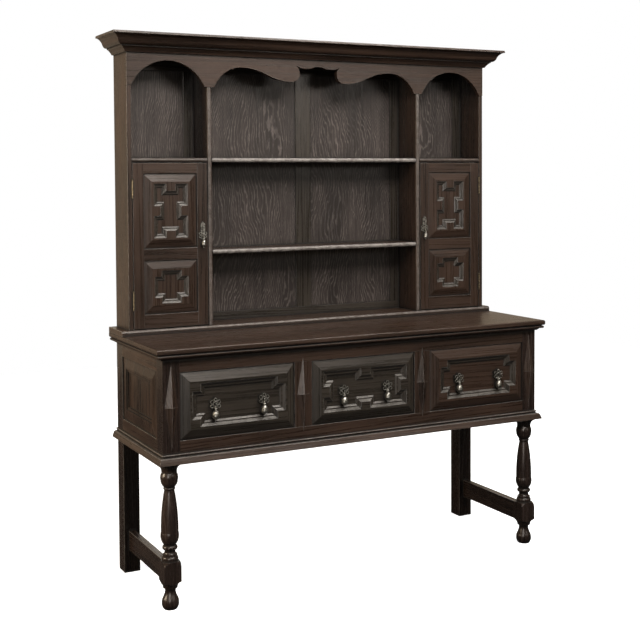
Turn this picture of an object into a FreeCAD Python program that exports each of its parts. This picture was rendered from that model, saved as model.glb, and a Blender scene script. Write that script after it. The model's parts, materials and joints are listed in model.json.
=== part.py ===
"""An oak dresser: a low base with three drawers on turned legs, and a plate rack above it.

The rack has two small cupboards, five open bays, an arched frieze and a cornice.
Millimetres, +Z up, front towards -Y. The origin is on the floor, under the middle of the object.
"""
import FreeCAD, Part
import math
import os
import Sketcher

doc = FreeCAD.newDocument("Dresser")
sheet = doc.addObject("Spreadsheet::Sheet", "Sizes")

# The driving dimensions, in millimetres, unless the name says otherwise.
dimensions = {
    # table top and the moulding under it
    "table_width": 1542,
    "table_depth": 510,
    "table_height": 856,
    "top_thick": 18,
    "top_overhang": 28,
    "top_round": 5,
    "top_mould_reach": 24,
    "top_mould_drop": 20,
    # posts, legs and stretchers
    "post_side": 58,
    "back_post_depth": 62,
    "block_foot": 73,
    "block_rise": 85,
    "turning_gap": 4,
    "stretcher_rise": 68,
    "stretcher_thick": 24,
    "tenon_length": 20,
    "tenon_side_gap": 0.2,
    # carcase of the base
    "apron_drop": 376,
    "base_mould_reach": 20,
    "base_mould_rise": 31,
    "rail_thick": 24,
    "low_rail_rise": 73,
    "top_rail_rise": 63,
    "divider_width": 66,
    "end_stile": 17,
    "back_board_thick": 10,
    "end_rim_recess": 5,
    "end_bevel_rise": 4,
    "end_bevel_width": 34,
    "end_flat_width": 6,
    "end_step_width": 9,
    "end_step_depth": 4,
    "end_panel_thick": 14,
    # diamond bosses on the stiles
    "boss_width": 46,
    "boss_height": 12,
    "boss_tip": 1,
    # drawers
    "drawer_gap": 1.2,
    "front_recess": 4,
    "front_thick": 20,
    "front_bevel_rise": 14,
    "front_bevel_width": 31,
    "front_flat_width": 7,
    "field_depth": 10,
    "front_moulding_width": 19,
    "front_moulding_height": 9.5,
    "drawer_side_thick": 12,
    "drawer_side_room": 32,
    "drawer_end_room": 28,
    "drawer_bottom_thick": 7,
    "drawer_bottom_lift": 8,
    "drawer_side_gap": 2,
    "runner_gap": 0.3,
    "runner_width": 30,
    "runner_thick": 20,
    "guide_rise": 20,
    # drop pulls on the drawers
    "rosette_radius": 14,
    "rosette_lobe_radius": 6.5,
    "rosette_hole_radius": 3.4,
    "plate_thick": 2.2,
    "boss_disc_radius": 5,
    "clevis_width": 8,
    "clevis_rise": 6,
    "pivot_reach": 14,
    "pin_radius": 1.2,
    "pin_gap": 0.05,
    "eye_radius": 2.8,
    "eye_width": 3,
    "eye_side_gap": 0.4,
    "drop_length": 52,
    "drop_radius": 12,
    "bolt_radius": 3,
    "bolt_gap": 0.2,
    "nut_radius": 7,
    "nut_thick": 5,
    # plate rack
    "rack_margin": 29,
    "rack_depth": 143,
    "rack_height": 1045,
    "sill_reach": 9,
    "sill_thick": 18,
    "sill_round": 9,
    "sill_sink": 1,
    "rack_side_thick": 16,
    "partition_thick": 18,
    "partition_nose": 6,
    "side_nose": 1.5,
    "shelf_thick": 16,
    "rack_top_thick": 16,
    "rack_top_drop": 8,
    "back_frame_thick": 12,
    "back_panel_thick": 6,
    "back_panel_recess": 3,
    "back_muntin": 64,
    "back_stile": 40,
    "back_rail": 30,
    "back_top_rail": 90,
    # frieze and cornice
    "frieze_thick": 19,
    "frieze_proud": 2,
    "frieze_drop": 169,
    "side_arch_rise": 88,
    "side_arch_margin": 8,
    "side_arch_shoulder": 17,
    "centre_arch_rise": 74,
    "centre_arch_margin": 10,
    "centre_arch_crest": 118,
    "lobe_place": 110,
    "lobe_drop": 46,
    "lobe_radius": 32,
    "cusp_place": 93,
    "cusp_rise": 89,
    "bracket_dip": 79.5,
    "bracket_dip_place": 45,
    "bracket_peak": 87,
    "cornice_reach": 65,
    "cornice_rise": 65,
    # doors
    "door_gap": 1.5,
    "hinge_gap": 2.4,
    "door_thick": 19,
    "door_stile": 39,
    "door_top_rail": 37,
    "door_middle_rail": 42,
    "door_bottom_rail": 49,
    "door_foot_gap": 3,
    "door_rim_recess": 5,
    "door_panel_thick": 10,
    "door_bevel_rise": 8,
    "door_bevel_width": 29,
    "door_flat_width": 7,
    "door_field_depth": 8,
    "door_moulding_width": 15,
    "door_moulding_height": 7.5,
    # hinges
    "hinge_rise": 66,
    "hinge_upper_drop": 90,
    "hinge_lower_lift": 100,
    "leaf_thick": 1,
    "leaf_width": 17,
    "barrel_radius": 3,
    "barrel_proud": 3.5,
    "hinge_pin_radius": 1.5,
    "knuckle_gap": 0.4,
    "knuckle_bore_gap": 0.08,
    # door handles and locks
    "handle_inset": 18.5,
    "handle_disc_radius": 10.5,
    "handle_lobe_radius": 6,
    "handle_hole_radius": 2.8,
    "handle_plate_width": 17,
    "handle_plate_rise": 44,
    "finial_radius": 3.4,
    "keyhole_radius": 2.6,
    "keyhole_drop": 9,
    "handle_reach": 9.6,
    "handle_drop_length": 44,
    "handle_drop_radius": 7.5,
    "lock_width": 44,
    "lock_rise": 50,
    "lock_thick": 12,
    "lock_bolt_rise": 16,
    "lock_bolt_thick": 5,
    "lock_bolt_length": 30,
    "lock_bolt_throw": 12,
    "lock_bolt_gap": 0.3,
    "bolt_mortise_gap": 1.2,
    "lock_setback": 3,
    "lock_end_gap": 1,
    # one overrun serves every cut
    "overrun": 5,
}

# Outline shares. Each point is (share across, share up or down, bulge of the arc to the next point).
top_mould_shares = (
    (0, 0), (0.22, 0), (0.55, 0.38, -0.35), (0.62, 0.42), (0.9, 0.42, 0.7), (0.9, 0.86), (0.8, 0.86),
    (0.8, 1), (0, 1),
)
base_mould_shares = (
    (0, 0), (1, 0), (0.97, 0.08, 0.08), (0.7, 0.56, 0.3), (0.62, 0.65), (0.14, 0.72), (0.14, 0.87),
    (0.3, 0.87), (0.3, 0.96), (0.24, 1), (0, 1),
)
cornice_shares = (
    (0, 0), (0.1, 0), (0.12, 0.04, -0.12), (0.34, 0.28), (0.37, 0.28), (0.37, 0.345), (0.46, 0.345, 0.22),
    (0.62, 0.53, -0.22), (0.9, 0.86), (0.985, 0.87), (1, 0.9), (0.97, 1), (0, 1),
)
upper_turning_shares = (
    (1.45, 0), (1.4, 0.005, 0.34), (0.88, 0.083), (0.82, 0.083, -0.22), (0.97, 0.165, -0.22), (0.64, 0.234),
    (0.6, 0.24, -0.6), (0.6, 0.262), (0.58, 0.272, -0.05), (0.985, 0.7, -0.24), (0.7, 0.828),
    (0.68, 0.836, -0.75), (0.64, 0.884), (0.61, 0.892), (0.61, 0.905, 0.3), (0.82, 0.93), (0.82, 0.942),
    (0.78, 0.947), (0.86, 0.954, -0.3), (0.9, 0.985), (0.9, 1), (1.04, 1, -0.3), (1.4, 1.062),
    (1.45, 1.064),
)
foot_turning_shares = (
    (1.45, -0.27), (1.4, -0.26, 0.32), (0.82, 0.04), (0.66, 0.06), (0.61, 0.12), (0.61, 0.2, 0.08),
    (0.8, 0.44, -0.15), (0.976, 0.72, -0.22), (0.72, 1), (0.72, 1.06), (1.45, 1.06),
)
# The drop's outline: share of its radius across, share of its length down from the pivot.
drop_shares = (
    (0, 0.045), (0.13, 0.045), (0.13, 0.25), (0.4, 0.27, -0.5), (0.4, 0.35), (0.28, 0.37, 0.1),
    (0.6, 0.43, -0.2), (1, 0.69, -0.42), (0.3, 0.95), (0.3, 0.97, -0.5), (0.1, 1.02), (0, 1.02),
)
# Across a panel's moulding from its outer edge: where the lip, the first slope and the flat end.
ring_lip_share = 0.05
ring_slope_share = 0.5
ring_flat_share = 0.7
# How high its flat and its inner edge stand, of its whole height.
ring_middle_share = 0.46
ring_edge_share = 0.06
# Steps at the corners and tabs in the sides of a panel's field, of the field's shorter side.
front_notch_shares = (0.195, 0.174)
front_tab_shares = (0.25, 0.167)
door_notch_shares = (0.205, 0.165)
door_tab_shares = (0.268, 0.197)
# Bosses, of the carcase's height, and a pull's place, of the room from the middle to the moulding's tab.
end_boss_share = 0.784
divider_boss_share = 0.712
pull_place_share = 0.704
# Places in the rack, of its half width or of its height.
partition_share = 0.577
upper_shelf_share = 0.59
lower_shelf_share = 0.276
# Places in a door, of the room between its rails or of its height.
lower_panel_share = 0.417
handle_share = 0.557
lobe_count = 6
full_circle = math.tau
rosette_core_share = 0.7
shelf_nose_share = 0.7
quarter_share = math.sqrt(2) - 1
knuckle_share = 1 / 3
slope_bulge_share = 0.113
bracket_bulge_share = 0.16
cusp_bulge_share = 0.28

for row, (word, number) in enumerate(dimensions.items(), start=1):
    sheet.set("A%d" % row, word)
    sheet.set("B%d" % row, str(number))
    sheet.setAlias("B%d" % row, word)
doc.recompute()


class Size:
    """A length that knows both its number and the expression that gives it."""

    def __init__(self, value, text):
        self.value = value
        self.text = text

    def _join(self, other, sign, value, swap=False):
        other_text = other.text if isinstance(other, Size) else repr(other)
        first, second = (other_text, self.text) if swap else (self.text, other_text)
        return Size(value, "(%s %s %s)" % (first, sign, second))

    def __add__(self, other):
        return self._join(other, "+", self.value + number(other))

    __radd__ = __add__

    def __sub__(self, other):
        return self._join(other, "-", self.value - number(other))

    def __rsub__(self, other):
        return self._join(other, "-", number(other) - self.value, swap=True)

    def __mul__(self, other):
        return self._join(other, "*", self.value * number(other))

    __rmul__ = __mul__

    def __truediv__(self, other):
        return self._join(other, "/", self.value / number(other))

    def __neg__(self):
        return Size(-self.value, "(-1 * %s)" % self.text)


def number(size):
    """The plain number of a Size or of a number."""
    return size.value if isinstance(size, Size) else size


def as_size(size):
    """A Size, also for a bare zero."""
    return size if isinstance(size, Size) else Size(size, repr(size))


class Sizes:
    """The sheet's cells as attributes."""

    def __getattr__(self, word):
        return Size(float(dimensions[word]), "Sizes.%s" % word)


s = Sizes()


def bind(thing, path, size):
    """Ties one property of an object to the sheet."""
    size = as_size(size)
    if "Sizes." in size.text:
        thing.setExpression(path, size.text)
    else:
        current = thing
        *parents, last = path.split(".")
        for name in parents:
            current = getattr(current, name)
        setattr(current, last, size.value)


def bind_place(thing, x=0, y=0, z=0):
    """Ties an object's place to the sheet."""
    for axis, size in zip("xyz", (x, y, z)):
        if isinstance(size, Size):
            thing.setExpression("Placement.Base.%s" % axis, size.text)


def board(name, across, deep, high):
    """A rectangular board between two places on each axis."""
    box = doc.addObject("Part::Box", name)
    bind(box, "Length", across[1] - across[0])
    bind(box, "Width", deep[1] - deep[0])
    bind(box, "Height", high[1] - high[0])
    bind_place(box, *(as_size(pair[0]) for pair in (across, deep, high)))
    return box


def cylinder(name, radius, length, centre, direction):
    """A round bar that starts at centre and runs along direction, one of x, y and z."""
    bar = doc.addObject("Part::Cylinder", name)
    bind(bar, "Radius", radius)
    bind(bar, "Height", length)
    turns = {
        "x": (FreeCAD.Vector(0, 1, 0), 90), "y": (FreeCAD.Vector(1, 0, 0), -90),
        "z": (FreeCAD.Vector(0, 0, 1), 0),
    }
    bar.Placement.Rotation = FreeCAD.Rotation(*turns[direction])
    bind_place(bar, *(as_size(place) for place in centre))
    return bar


def cut(name, base, *tools):
    """The base without the tools."""
    result = base
    for index, tool in enumerate(tools):
        step = doc.addObject("Part::Cut", "%s_%d" % (name, index))
        step.Base = result
        step.Tool = tool
        result = step
    return result


def join(name, *pieces):
    """Pieces that are one solid in the real object."""
    fuse = doc.addObject("Part::MultiFuse", name)
    fuse.Shapes = list(pieces)
    fuse.Refine = True
    return fuse


def group(name, *pieces):
    """Separate solids that share one node."""
    bundle = doc.addObject("Part::Compound", name)
    bundle.Links = list(pieces)
    return bundle


def mirror(name, piece):
    """The same piece on the other side of the middle."""
    twin = doc.addObject("Part::Mirroring", name)
    twin.Source = piece
    twin.Normal = FreeCAD.Vector(1, 0, 0)
    return twin


def arc_between(start, end, bulge):
    """An arc that turns left for a positive bulge, the tangent of a quarter of its angle."""
    if bulge < 0:
        start, end, bulge = end, start, -bulge
    chord = end - start
    middle = (start + end) * 0.5
    left = FreeCAD.Vector(-chord.y, chord.x, 0)
    centre = middle + left * ((1 - bulge * bulge) / (4 * bulge))
    radius = chord.Length * (1 + bulge * bulge) / (4 * bulge)
    circle = Part.Circle(centre, FreeCAD.Vector(0, 0, 1), radius)
    first = math.atan2(start.y - centre.y, start.x - centre.x)
    last = math.atan2(end.y - centre.y, end.x - centre.x)
    if last < first:
        last += 2 * math.pi
    return Part.ArcOfCircle(circle, first, last)


def draw(sketch, corners):
    """A closed outline, each corner held at its two sizes, each arc at its radius."""
    first = sketch.GeometryCount
    count = len(corners)
    points = [(as_size(corner[0]), as_size(corner[1])) for corner in corners]
    bulges = [corner[2] if len(corner) > 2 else 0 for corner in corners]
    spots = [FreeCAD.Vector(x.value, y.value, 0) for x, y in points]
    shapes = []
    for index, bulge in enumerate(bulges):
        after = (index + 1) % count
        if bulge:
            shapes.append(arc_between(spots[index], spots[after], bulge))
        else:
            shapes.append(Part.LineSegment(spots[index], spots[after]))
    sketch.addGeometry(shapes, False)
    heads = [1 if bulge >= 0 else 2 for bulge in bulges]
    ties = []
    texts = []
    for index in range(count):
        after = (index + 1) % count
        ties.append(
            Sketcher.Constraint("Coincident", first + index, 3 - heads[index], first + after, heads[after]),
        )
        texts.append(None)
    for index, (x, y) in enumerate(points):
        ties.append(Sketcher.Constraint("DistanceX", first + index, heads[index], x.value))
        texts.append(x.text)
        ties.append(Sketcher.Constraint("DistanceY", first + index, heads[index], y.value))
        texts.append(y.text)
    for index, bulge in enumerate(bulges):
        if bulge:
            steep = abs(bulge)
            (x, y), (x_next, y_next) = points[index], points[(index + 1) % count]
            ratio = (1 + steep * steep) / (4 * steep)
            wide, tall = x_next - x, y_next - y
            text = "sqrt(%s ^ 2 + %s ^ 2) * %r" % (as_size(wide).text, as_size(tall).text, ratio)
            radius = math.hypot(number(wide), number(tall)) * ratio
            ties.append(Sketcher.Constraint("Radius", first + index, radius))
            texts.append(text)
    start = sketch.ConstraintCount
    sketch.addConstraint(ties)
    for index, text in enumerate(texts):
        if text and "Sizes." in text:
            sketch.setExpression("Constraints[%d]" % (start + index), text)


def new_sketch(body, plane, outlines):
    """A sketch on one of the body's own planes."""
    sketch = body.newObject("Sketcher::SketchObject", body.Name + "_sketch")
    own_plane = [item for item in body.Origin.OriginFeatures if item.Role == plane][0]
    sketch.AttachmentSupport = [(own_plane, "")]
    sketch.MapMode = "FlatFace"
    for outline in outlines:
        draw(sketch, outline)
    return sketch


def prism(name, plane, outlines, length, x=0, y=0, z=0):
    """Outlines on a plane, padded: XZ_Plane pads to the front, YZ_Plane to +X, XY_Plane up."""
    body = doc.addObject("PartDesign::Body", name)
    sketch = new_sketch(body, plane, outlines)
    pad = body.newObject("PartDesign::Pad", name + "_pad")
    pad.Profile = sketch
    bind(pad, "Length", length)
    bind_place(body, x, y, z)
    return body


def turned(name, outline, x=0, y=0, z=0):
    """An outline of radius and height, spun about the vertical."""
    body = doc.addObject("PartDesign::Body", name)
    sketch = new_sketch(body, "XZ_Plane", [outline])
    spin = body.newObject("PartDesign::Revolution", name + "_spin")
    spin.Profile = sketch
    spin.ReferenceAxis = (sketch, ["V_Axis"])
    spin.Angle = 360
    bind_place(body, x, y, z)
    return body


def scaled(shares, wide, tall, x=0, y=0):
    """An outline from shares of a width and a height."""
    corners = []
    for share in shares:
        corner = (
            x + wide * share[0] if share[0] else as_size(x),
            y + tall * share[1] if share[1] else as_size(y),
        )
        corners.append(corner + tuple(share[2:]))
    return corners


def rectangle(left, low, right, high):
    """The four corners of a rectangle."""
    return [(left, low), (right, low), (right, high), (left, high)]


def inset(corners, amount):
    """A rectilinear outline, drawn anticlockwise, moved inwards by an amount on every side."""
    moved = []
    count = len(corners)
    for index, (x, y) in enumerate(corners):
        before = corners[index - 1]
        after = corners[(index + 1) % count]
        shift_x, shift_y = 0, 0
        for start, end in ((before, (x, y)), ((x, y), after)):
            run_x = number(end[0]) - number(start[0])
            run_y = number(end[1]) - number(start[1])
            if abs(run_x) > abs(run_y):
                shift_y = 1 if run_x > 0 else -1
            else:
                shift_x = -1 if run_y > 0 else 1
        moved.append((x + amount * shift_x, y + amount * shift_y))
    return moved


def bevelled(name, across, high, back_y, rise, bevel):
    """A block that rises towards the front, with the same bevel on its four sides."""
    wedge = doc.addObject("Part::Wedge", name)
    wide = across[1] - across[0]
    tall = high[1] - high[0]
    bind(wedge, "Xmin", 0)
    bind(wedge, "Ymin", 0)
    bind(wedge, "Zmin", 0)
    bind(wedge, "Xmax", wide)
    bind(wedge, "Ymax", rise)
    bind(wedge, "Zmax", tall)
    bind(wedge, "X2min", bevel)
    bind(wedge, "X2max", wide - bevel)
    bind(wedge, "Z2min", bevel)
    bind(wedge, "Z2max", tall - bevel)
    wedge.Placement.Rotation = FreeCAD.Rotation(FreeCAD.Vector(0, 0, 1), 180)
    bind_place(wedge, across[1], back_y, high[0])
    return wedge


# Places that many pieces share, worked out from the dimensions.
back = s.table_depth / 2
carcase_half = s.table_width / 2 - s.top_overhang
carcase_front = -back + s.top_overhang
rail_back = carcase_front + s.rail_thick
carcase_top = s.table_height - s.top_thick
apron_foot = s.table_height - s.apron_drop
opening_foot = apron_foot + s.low_rail_rise
opening_head = carcase_top - s.top_rail_rise
stile_inner = carcase_half - s.post_side
opening_width = (stile_inner * 2 - s.divider_width * 2) / 3
post_axis_x = carcase_half - s.post_side / 2
post_axis_y = carcase_front + s.post_side / 2
back_post_front = back - s.back_post_depth
rack_half = s.table_width / 2 - s.rack_margin
rack_front = back - s.rack_depth
rack_inner = rack_half - s.rack_side_thick
rack_foot = s.table_height + s.sill_thick
rack_head = s.table_height + s.rack_height - s.rack_top_drop
rack_ceiling = rack_head - s.rack_top_thick
back_frame_front = back - s.back_frame_thick
partition_place = rack_half * partition_share
partition_outer = partition_place + s.partition_thick
upper_shelf_top = s.table_height + s.rack_height * upper_shelf_share
lower_shelf_top = s.table_height + s.rack_height * lower_shelf_share
frieze_foot = rack_head - s.frieze_drop
sill_front = rack_front - s.sill_reach
frieze_front = rack_front - s.frieze_proud
frieze_back = frieze_front + s.frieze_thick
nodes = {}


def keep(name, piece):
    """Names a finished sub-part after its node."""
    piece.Label = name
    nodes[name] = piece
    return piece


def mitre(name, x, y, reach, low, tall, angle):
    """A cutter turned so that one face is the mitre at the front right corner."""
    box = board(name, (as_size(0), reach * 3), (as_size(0), reach * 3), (as_size(0), tall + s.overrun * 2))
    box.Placement.Rotation = FreeCAD.Rotation(FreeCAD.Vector(0, 0, 1), angle)
    bind_place(box, x, y, low - s.overrun)
    return box


def moulding(name, shares, reach, rise, half, front, foot):
    """Three lengths of one moulding on the front and the ends, mitred where they meet."""
    front_outline = [(-corner[0], corner[1]) + tuple(-bulge for bulge in corner[2:])
                     for corner in scaled(shares, reach, rise)]
    run = half + reach
    front_bar = prism(name + "_front", "YZ_Plane", [front_outline], run * 2, x=-run, y=front, z=foot)
    front_bar = cut(
        name + "_front_cut", front_bar,
        mitre(name + "_mitre_right", half, front, reach, foot, rise, -45),
        mirror(name + "_mitre_left", mitre(name + "_mitre_copy", half, front, reach, foot, rise, -45)),
    )
    depth = back - front + reach
    end_bar = prism(name + "_end", "XZ_Plane", [scaled(shares, reach, rise)], depth, x=half, y=back, z=foot)
    end_bar = cut(
        name + "_end_cut", end_bar, mitre(name + "_mitre_end", half, front, reach, foot, rise, -135),
    )
    return group(name, front_bar, end_bar, mirror(name + "_end_left", end_bar))


def both_sides(name, piece):
    """One node on each side of the middle."""
    keep(name + "_right", piece)
    keep(name + "_left", mirror(name + "_left", piece))


def make_table_top():
    """The slab, its front and end edges rounded."""
    half = s.table_width / 2
    body = prism("table_top", "XY_Plane", [rectangle(-half, -back, half, back)], s.top_thick, z=carcase_top)
    doc.recompute()
    names = []
    for index, edge in enumerate(body.Shape.Edges, start=1):
        middle = edge.CenterOfMass
        level = abs(edge.Vertexes[0].Z - edge.Vertexes[-1].Z) < s.top_thick.value / 2
        if level and middle.y < back.value - s.top_overhang.value:
            names.append("Edge%d" % index)
    blank = body.Tip
    fillet = body.newObject("PartDesign::Fillet", "table_top_round")
    fillet.Base = (blank, names)
    bind(fillet, "Radius", s.top_round)
    body.Tip = fillet
    housing = board(
        "sill_housing", (-half - s.overrun, half + s.overrun), (sill_front, back + s.overrun),
        (s.table_height - s.sill_sink, s.table_height + s.overrun),
    )
    keep("table_top", cut("table_top_housed", body, housing))
    keep("top_moulding", moulding(
        "top_moulding", top_mould_shares, s.top_mould_reach, s.top_mould_drop,
        carcase_half, carcase_front, carcase_top - s.top_mould_drop,
    ))


def make_front_leg():
    """A square post, turned between the apron and the block and again at the foot."""
    half = s.post_side / 2
    body = prism(
        "front_leg_right", "XY_Plane", [rectangle(-half, -half, half, half)], carcase_top, x=post_axis_x,
        y=post_axis_y,
    )
    turn_top = apron_foot - s.turning_gap
    block_top = s.block_foot + s.block_rise
    for word, shares, top, length in (
        ("baluster", upper_turning_shares, turn_top, turn_top - block_top),
        ("foot", foot_turning_shares, s.block_foot, s.block_foot),
    ):
        outline = scaled(shares, half, -length, y=top)
        sketch = new_sketch(body, "XZ_Plane", [outline])
        groove = body.newObject("PartDesign::Groove", "front_leg_" + word)
        groove.Profile = sketch
        groove.ReferenceAxis = (sketch, ["V_Axis"])
        groove.Angle = 360
        doc.recompute()
    mortise = board(
        "leg_mortise",
        (
            post_axis_x - s.stretcher_thick / 4 - s.tenon_side_gap,
            post_axis_x + s.stretcher_thick / 4 + s.tenon_side_gap,
        ),
        (post_axis_y + half - s.tenon_length - s.tenon_side_gap, post_axis_y + half + s.overrun),
        (
            stretcher_foot + s.stretcher_rise / 6 - s.tenon_side_gap,
            stretcher_foot + s.stretcher_rise * 5 / 6 + s.tenon_side_gap,
        ),
    )
    both_sides("front_leg", cut("front_leg", body, mortise))


stretcher_foot = s.block_foot + (s.block_rise - s.stretcher_rise) / 2


def make_back_posts_and_stretchers():
    """Plain square posts behind, and a tenoned stretcher from each to its front leg."""
    half = s.post_side / 2
    tenon_half = s.stretcher_thick / 4
    tenon_low = stretcher_foot + s.stretcher_rise / 6
    tenon_high = stretcher_foot + s.stretcher_rise * 5 / 6
    leg_face = post_axis_y + half
    post = board("back_post_blank", (stile_inner, carcase_half), (back_post_front, back), (0, carcase_top))
    mortise = board(
        "post_mortise",
        (post_axis_x - tenon_half - s.tenon_side_gap, post_axis_x + tenon_half + s.tenon_side_gap),
        (back_post_front - s.overrun, back_post_front + s.tenon_length + s.tenon_side_gap),
        (tenon_low - s.tenon_side_gap, tenon_high + s.tenon_side_gap),
    )
    post = cut("back_post", post, mortise)
    keep("back_posts", group("back_posts", post, mirror("back_post_left", post)))
    bar = board(
        "stretcher_bar",
        (post_axis_x - s.stretcher_thick / 2, post_axis_x + s.stretcher_thick / 2),
        (leg_face, back_post_front),
        (stretcher_foot, stretcher_foot + s.stretcher_rise),
    )
    tenon = board(
        "stretcher_tenon", (post_axis_x - tenon_half, post_axis_x + tenon_half),
        (leg_face - s.tenon_length, back_post_front + s.tenon_length), (tenon_low, tenon_high),
    )
    stretcher = join("stretcher", bar, tenon)
    keep("side_stretchers", group("side_stretchers", stretcher, mirror("stretcher_left", stretcher)))


def make_carcase():
    """Rails, end panels, dividers, back board and runners of the base."""
    rail_inner = carcase_half - s.rail_thick
    leg_back = carcase_front + s.post_side
    stile_back = leg_back + s.end_stile
    top_rail = board(
        "end_top_rail", (rail_inner, carcase_half), (leg_back, back_post_front),
        (opening_head, carcase_top),
    )
    low_rail = board(
        "end_low_rail", (rail_inner, carcase_half), (leg_back, back_post_front),
        (apron_foot, opening_foot),
    )
    stile = board(
        "end_stile", (rail_inner, carcase_half), (leg_back, stile_back), (opening_foot, opening_head),
    )
    end_frame = group("end_frame", top_rail, low_rail, stile)
    keep("end_rails", group("end_rails", top_rail, low_rail, stile, mirror("end_frame_left", end_frame)))

    rim_x = carcase_half - s.end_rim_recess
    core = board(
        "end_core", (rim_x - s.end_panel_thick, rim_x), (stile_back, back_post_front),
        (opening_foot, opening_head),
    )
    raised = bevelled(
        "end_raised", (0, back_post_front - stile_back), (0, opening_head - opening_foot), as_size(0),
        s.end_bevel_rise, s.end_bevel_width,
    )
    raised.Placement.Rotation = FreeCAD.Rotation(FreeCAD.Vector(0, 0, 1), -90)
    bind_place(raised, rim_x, back_post_front, opening_foot)
    panel = join("end_panel_blank", core, raised)
    tools = []
    for step in (1, 2):
        margin = s.end_bevel_width + s.end_flat_width + s.end_step_width * (step - 1)
        floor = rim_x + s.end_bevel_rise - s.end_step_depth * step
        tools.append(board(
            "end_field_%d" % step, (floor, carcase_half + s.overrun),
            (stile_back + margin, back_post_front - margin),
            (opening_foot + margin, opening_head - margin),
        ))
    panel = cut("end_panel", panel, *tools)
    keep("end_panels", group("end_panels", panel, mirror("end_panel_left", panel)))

    span = (-stile_inner, stile_inner)
    top_front = board("front_top_rail", span, (carcase_front, rail_back), (opening_head, carcase_top))
    low_front = board("front_low_rail", span, (carcase_front, rail_back), (apron_foot, opening_foot))
    keep("front_rails", group("front_rails", top_front, low_front))
    divider_inner = opening_width / 2
    divider = board(
        "divider", (divider_inner, divider_inner + s.divider_width), (carcase_front, rail_back),
        (opening_foot, opening_head),
    )
    keep("drawer_dividers", group("drawer_dividers", divider, mirror("divider_left", divider)))

    back_board = board(
        "carcase_back", (-stile_inner, stile_inner), (back - s.back_board_thick, back),
        (apron_foot, carcase_top),
    )
    keep("carcase_back", back_board)

    bosses = []
    middle_z = (opening_foot + opening_head) / 2
    carcase_rise = carcase_top - apron_foot
    for word, x, rise in (
        ("end", post_axis_x, carcase_rise * end_boss_share),
        ("divider", divider_inner + s.divider_width / 2, carcase_rise * divider_boss_share),
    ):
        sections = []
        for tip, share_y in ((s.boss_width / 2, 0), (s.boss_tip / 2, 1)):
            tall = tip * (rise / s.boss_width)
            wire = doc.addObject("Sketcher::SketchObject", "boss_%s_%d" % (word, share_y))
            draw(wire, [(as_size(0), -tall), (tip, as_size(0)), (as_size(0), tall), (-tip, as_size(0))])
            wire.Placement.Rotation = FreeCAD.Rotation(FreeCAD.Vector(1, 0, 0), 90)
            bind_place(wire, x, carcase_front - s.boss_height * share_y, middle_z)
            sections.append(wire)
        loft = doc.addObject("Part::Loft", "boss_" + word)
        loft.Sections = sections
        loft.Solid = True
        loft.Ruled = True
        bosses += [loft, mirror("boss_%s_left" % word, loft)]
    keep("diamond_bosses", group("diamond_bosses", *bosses))

    keep("base_moulding", moulding(
        "base_moulding", base_mould_shares, s.base_mould_reach, s.base_mould_rise,
        carcase_half, carcase_front, apron_foot,
    ))

    edge = divider_inner + s.divider_width
    runner_back = back - s.back_board_thick
    runner_low = opening_foot - s.runner_thick
    guide_top = opening_foot + s.guide_rise
    middle_bar = board(
        "middle_runner_bar", (divider_inner - s.runner_width, edge + s.runner_width),
        (rail_back, runner_back),
        (runner_low, opening_foot),
    )
    middle_guide = board(
        "middle_guide", (divider_inner, edge), (rail_back, runner_back), (opening_foot, guide_top),
    )
    middle = join("middle_runner", middle_bar, middle_guide)
    end_bar = board(
        "end_runner_bar", (stile_inner - s.runner_width, stile_inner), (rail_back, runner_back),
        (runner_low, opening_foot),
    )
    end_guide = board(
        "end_guide", (stile_inner, rail_inner), (leg_back, back_post_front), (runner_low, guide_top),
    )
    end = join("end_runner", end_bar, end_guide)
    runners = [middle, mirror("middle_runner_left", middle), end, mirror("end_runner_left", end)]
    keep("drawer_runners", group("drawer_runners", *runners))


def notched(left, low, right, high, wide, tall):
    """A rectangle whose four corners are stepped inwards."""
    return [
        (left + wide, low), (right - wide, low), (right - wide, low + tall), (right, low + tall),
        (right, high - tall), (right - wide, high - tall), (right - wide, high), (left + wide, high),
        (left + wide, high - tall), (left, high - tall), (left, low + tall), (left + wide, low + tall),
    ]


def tabbed(left, low, right, high, wide, reach):
    """A rectangle with a square tab that comes in from the middle of each side."""
    mid_x = (left + right) / 2
    mid_z = (low + high) / 2
    half = wide / 2
    return [
        (left, low), (mid_x - half, low), (mid_x - half, low + reach), (mid_x + half, low + reach),
        (mid_x + half, low),
        (right, low), (right, mid_z - half), (right - reach, mid_z - half), (right - reach, mid_z + half),
        (right, mid_z + half), (right, high), (mid_x + half, high), (mid_x + half, high - reach),
        (mid_x - half, high - reach), (mid_x - half, high), (left, high), (left, mid_z + half),
        (left + reach, mid_z + half), (left + reach, mid_z - half), (left, mid_z - half),
    ]


def frustum(name, small, large, small_y, large_y):
    """A solid between two outlines with the same corners, the larger one nearer the front."""
    sections = []
    for word, outline, y in (("small", small, small_y), ("large", large, large_y)):
        wire = doc.addObject("Sketcher::SketchObject", "%s_%s" % (name, word))
        draw(wire, outline)
        wire.Placement.Rotation = FreeCAD.Rotation(FreeCAD.Vector(1, 0, 0), 90)
        bind_place(wire, 0, y, 0)
        sections.append(wire)
    loft = doc.addObject("Part::Loft", name)
    loft.Sections = sections
    loft.Solid = True
    loft.Ruled = True
    return loft


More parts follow.
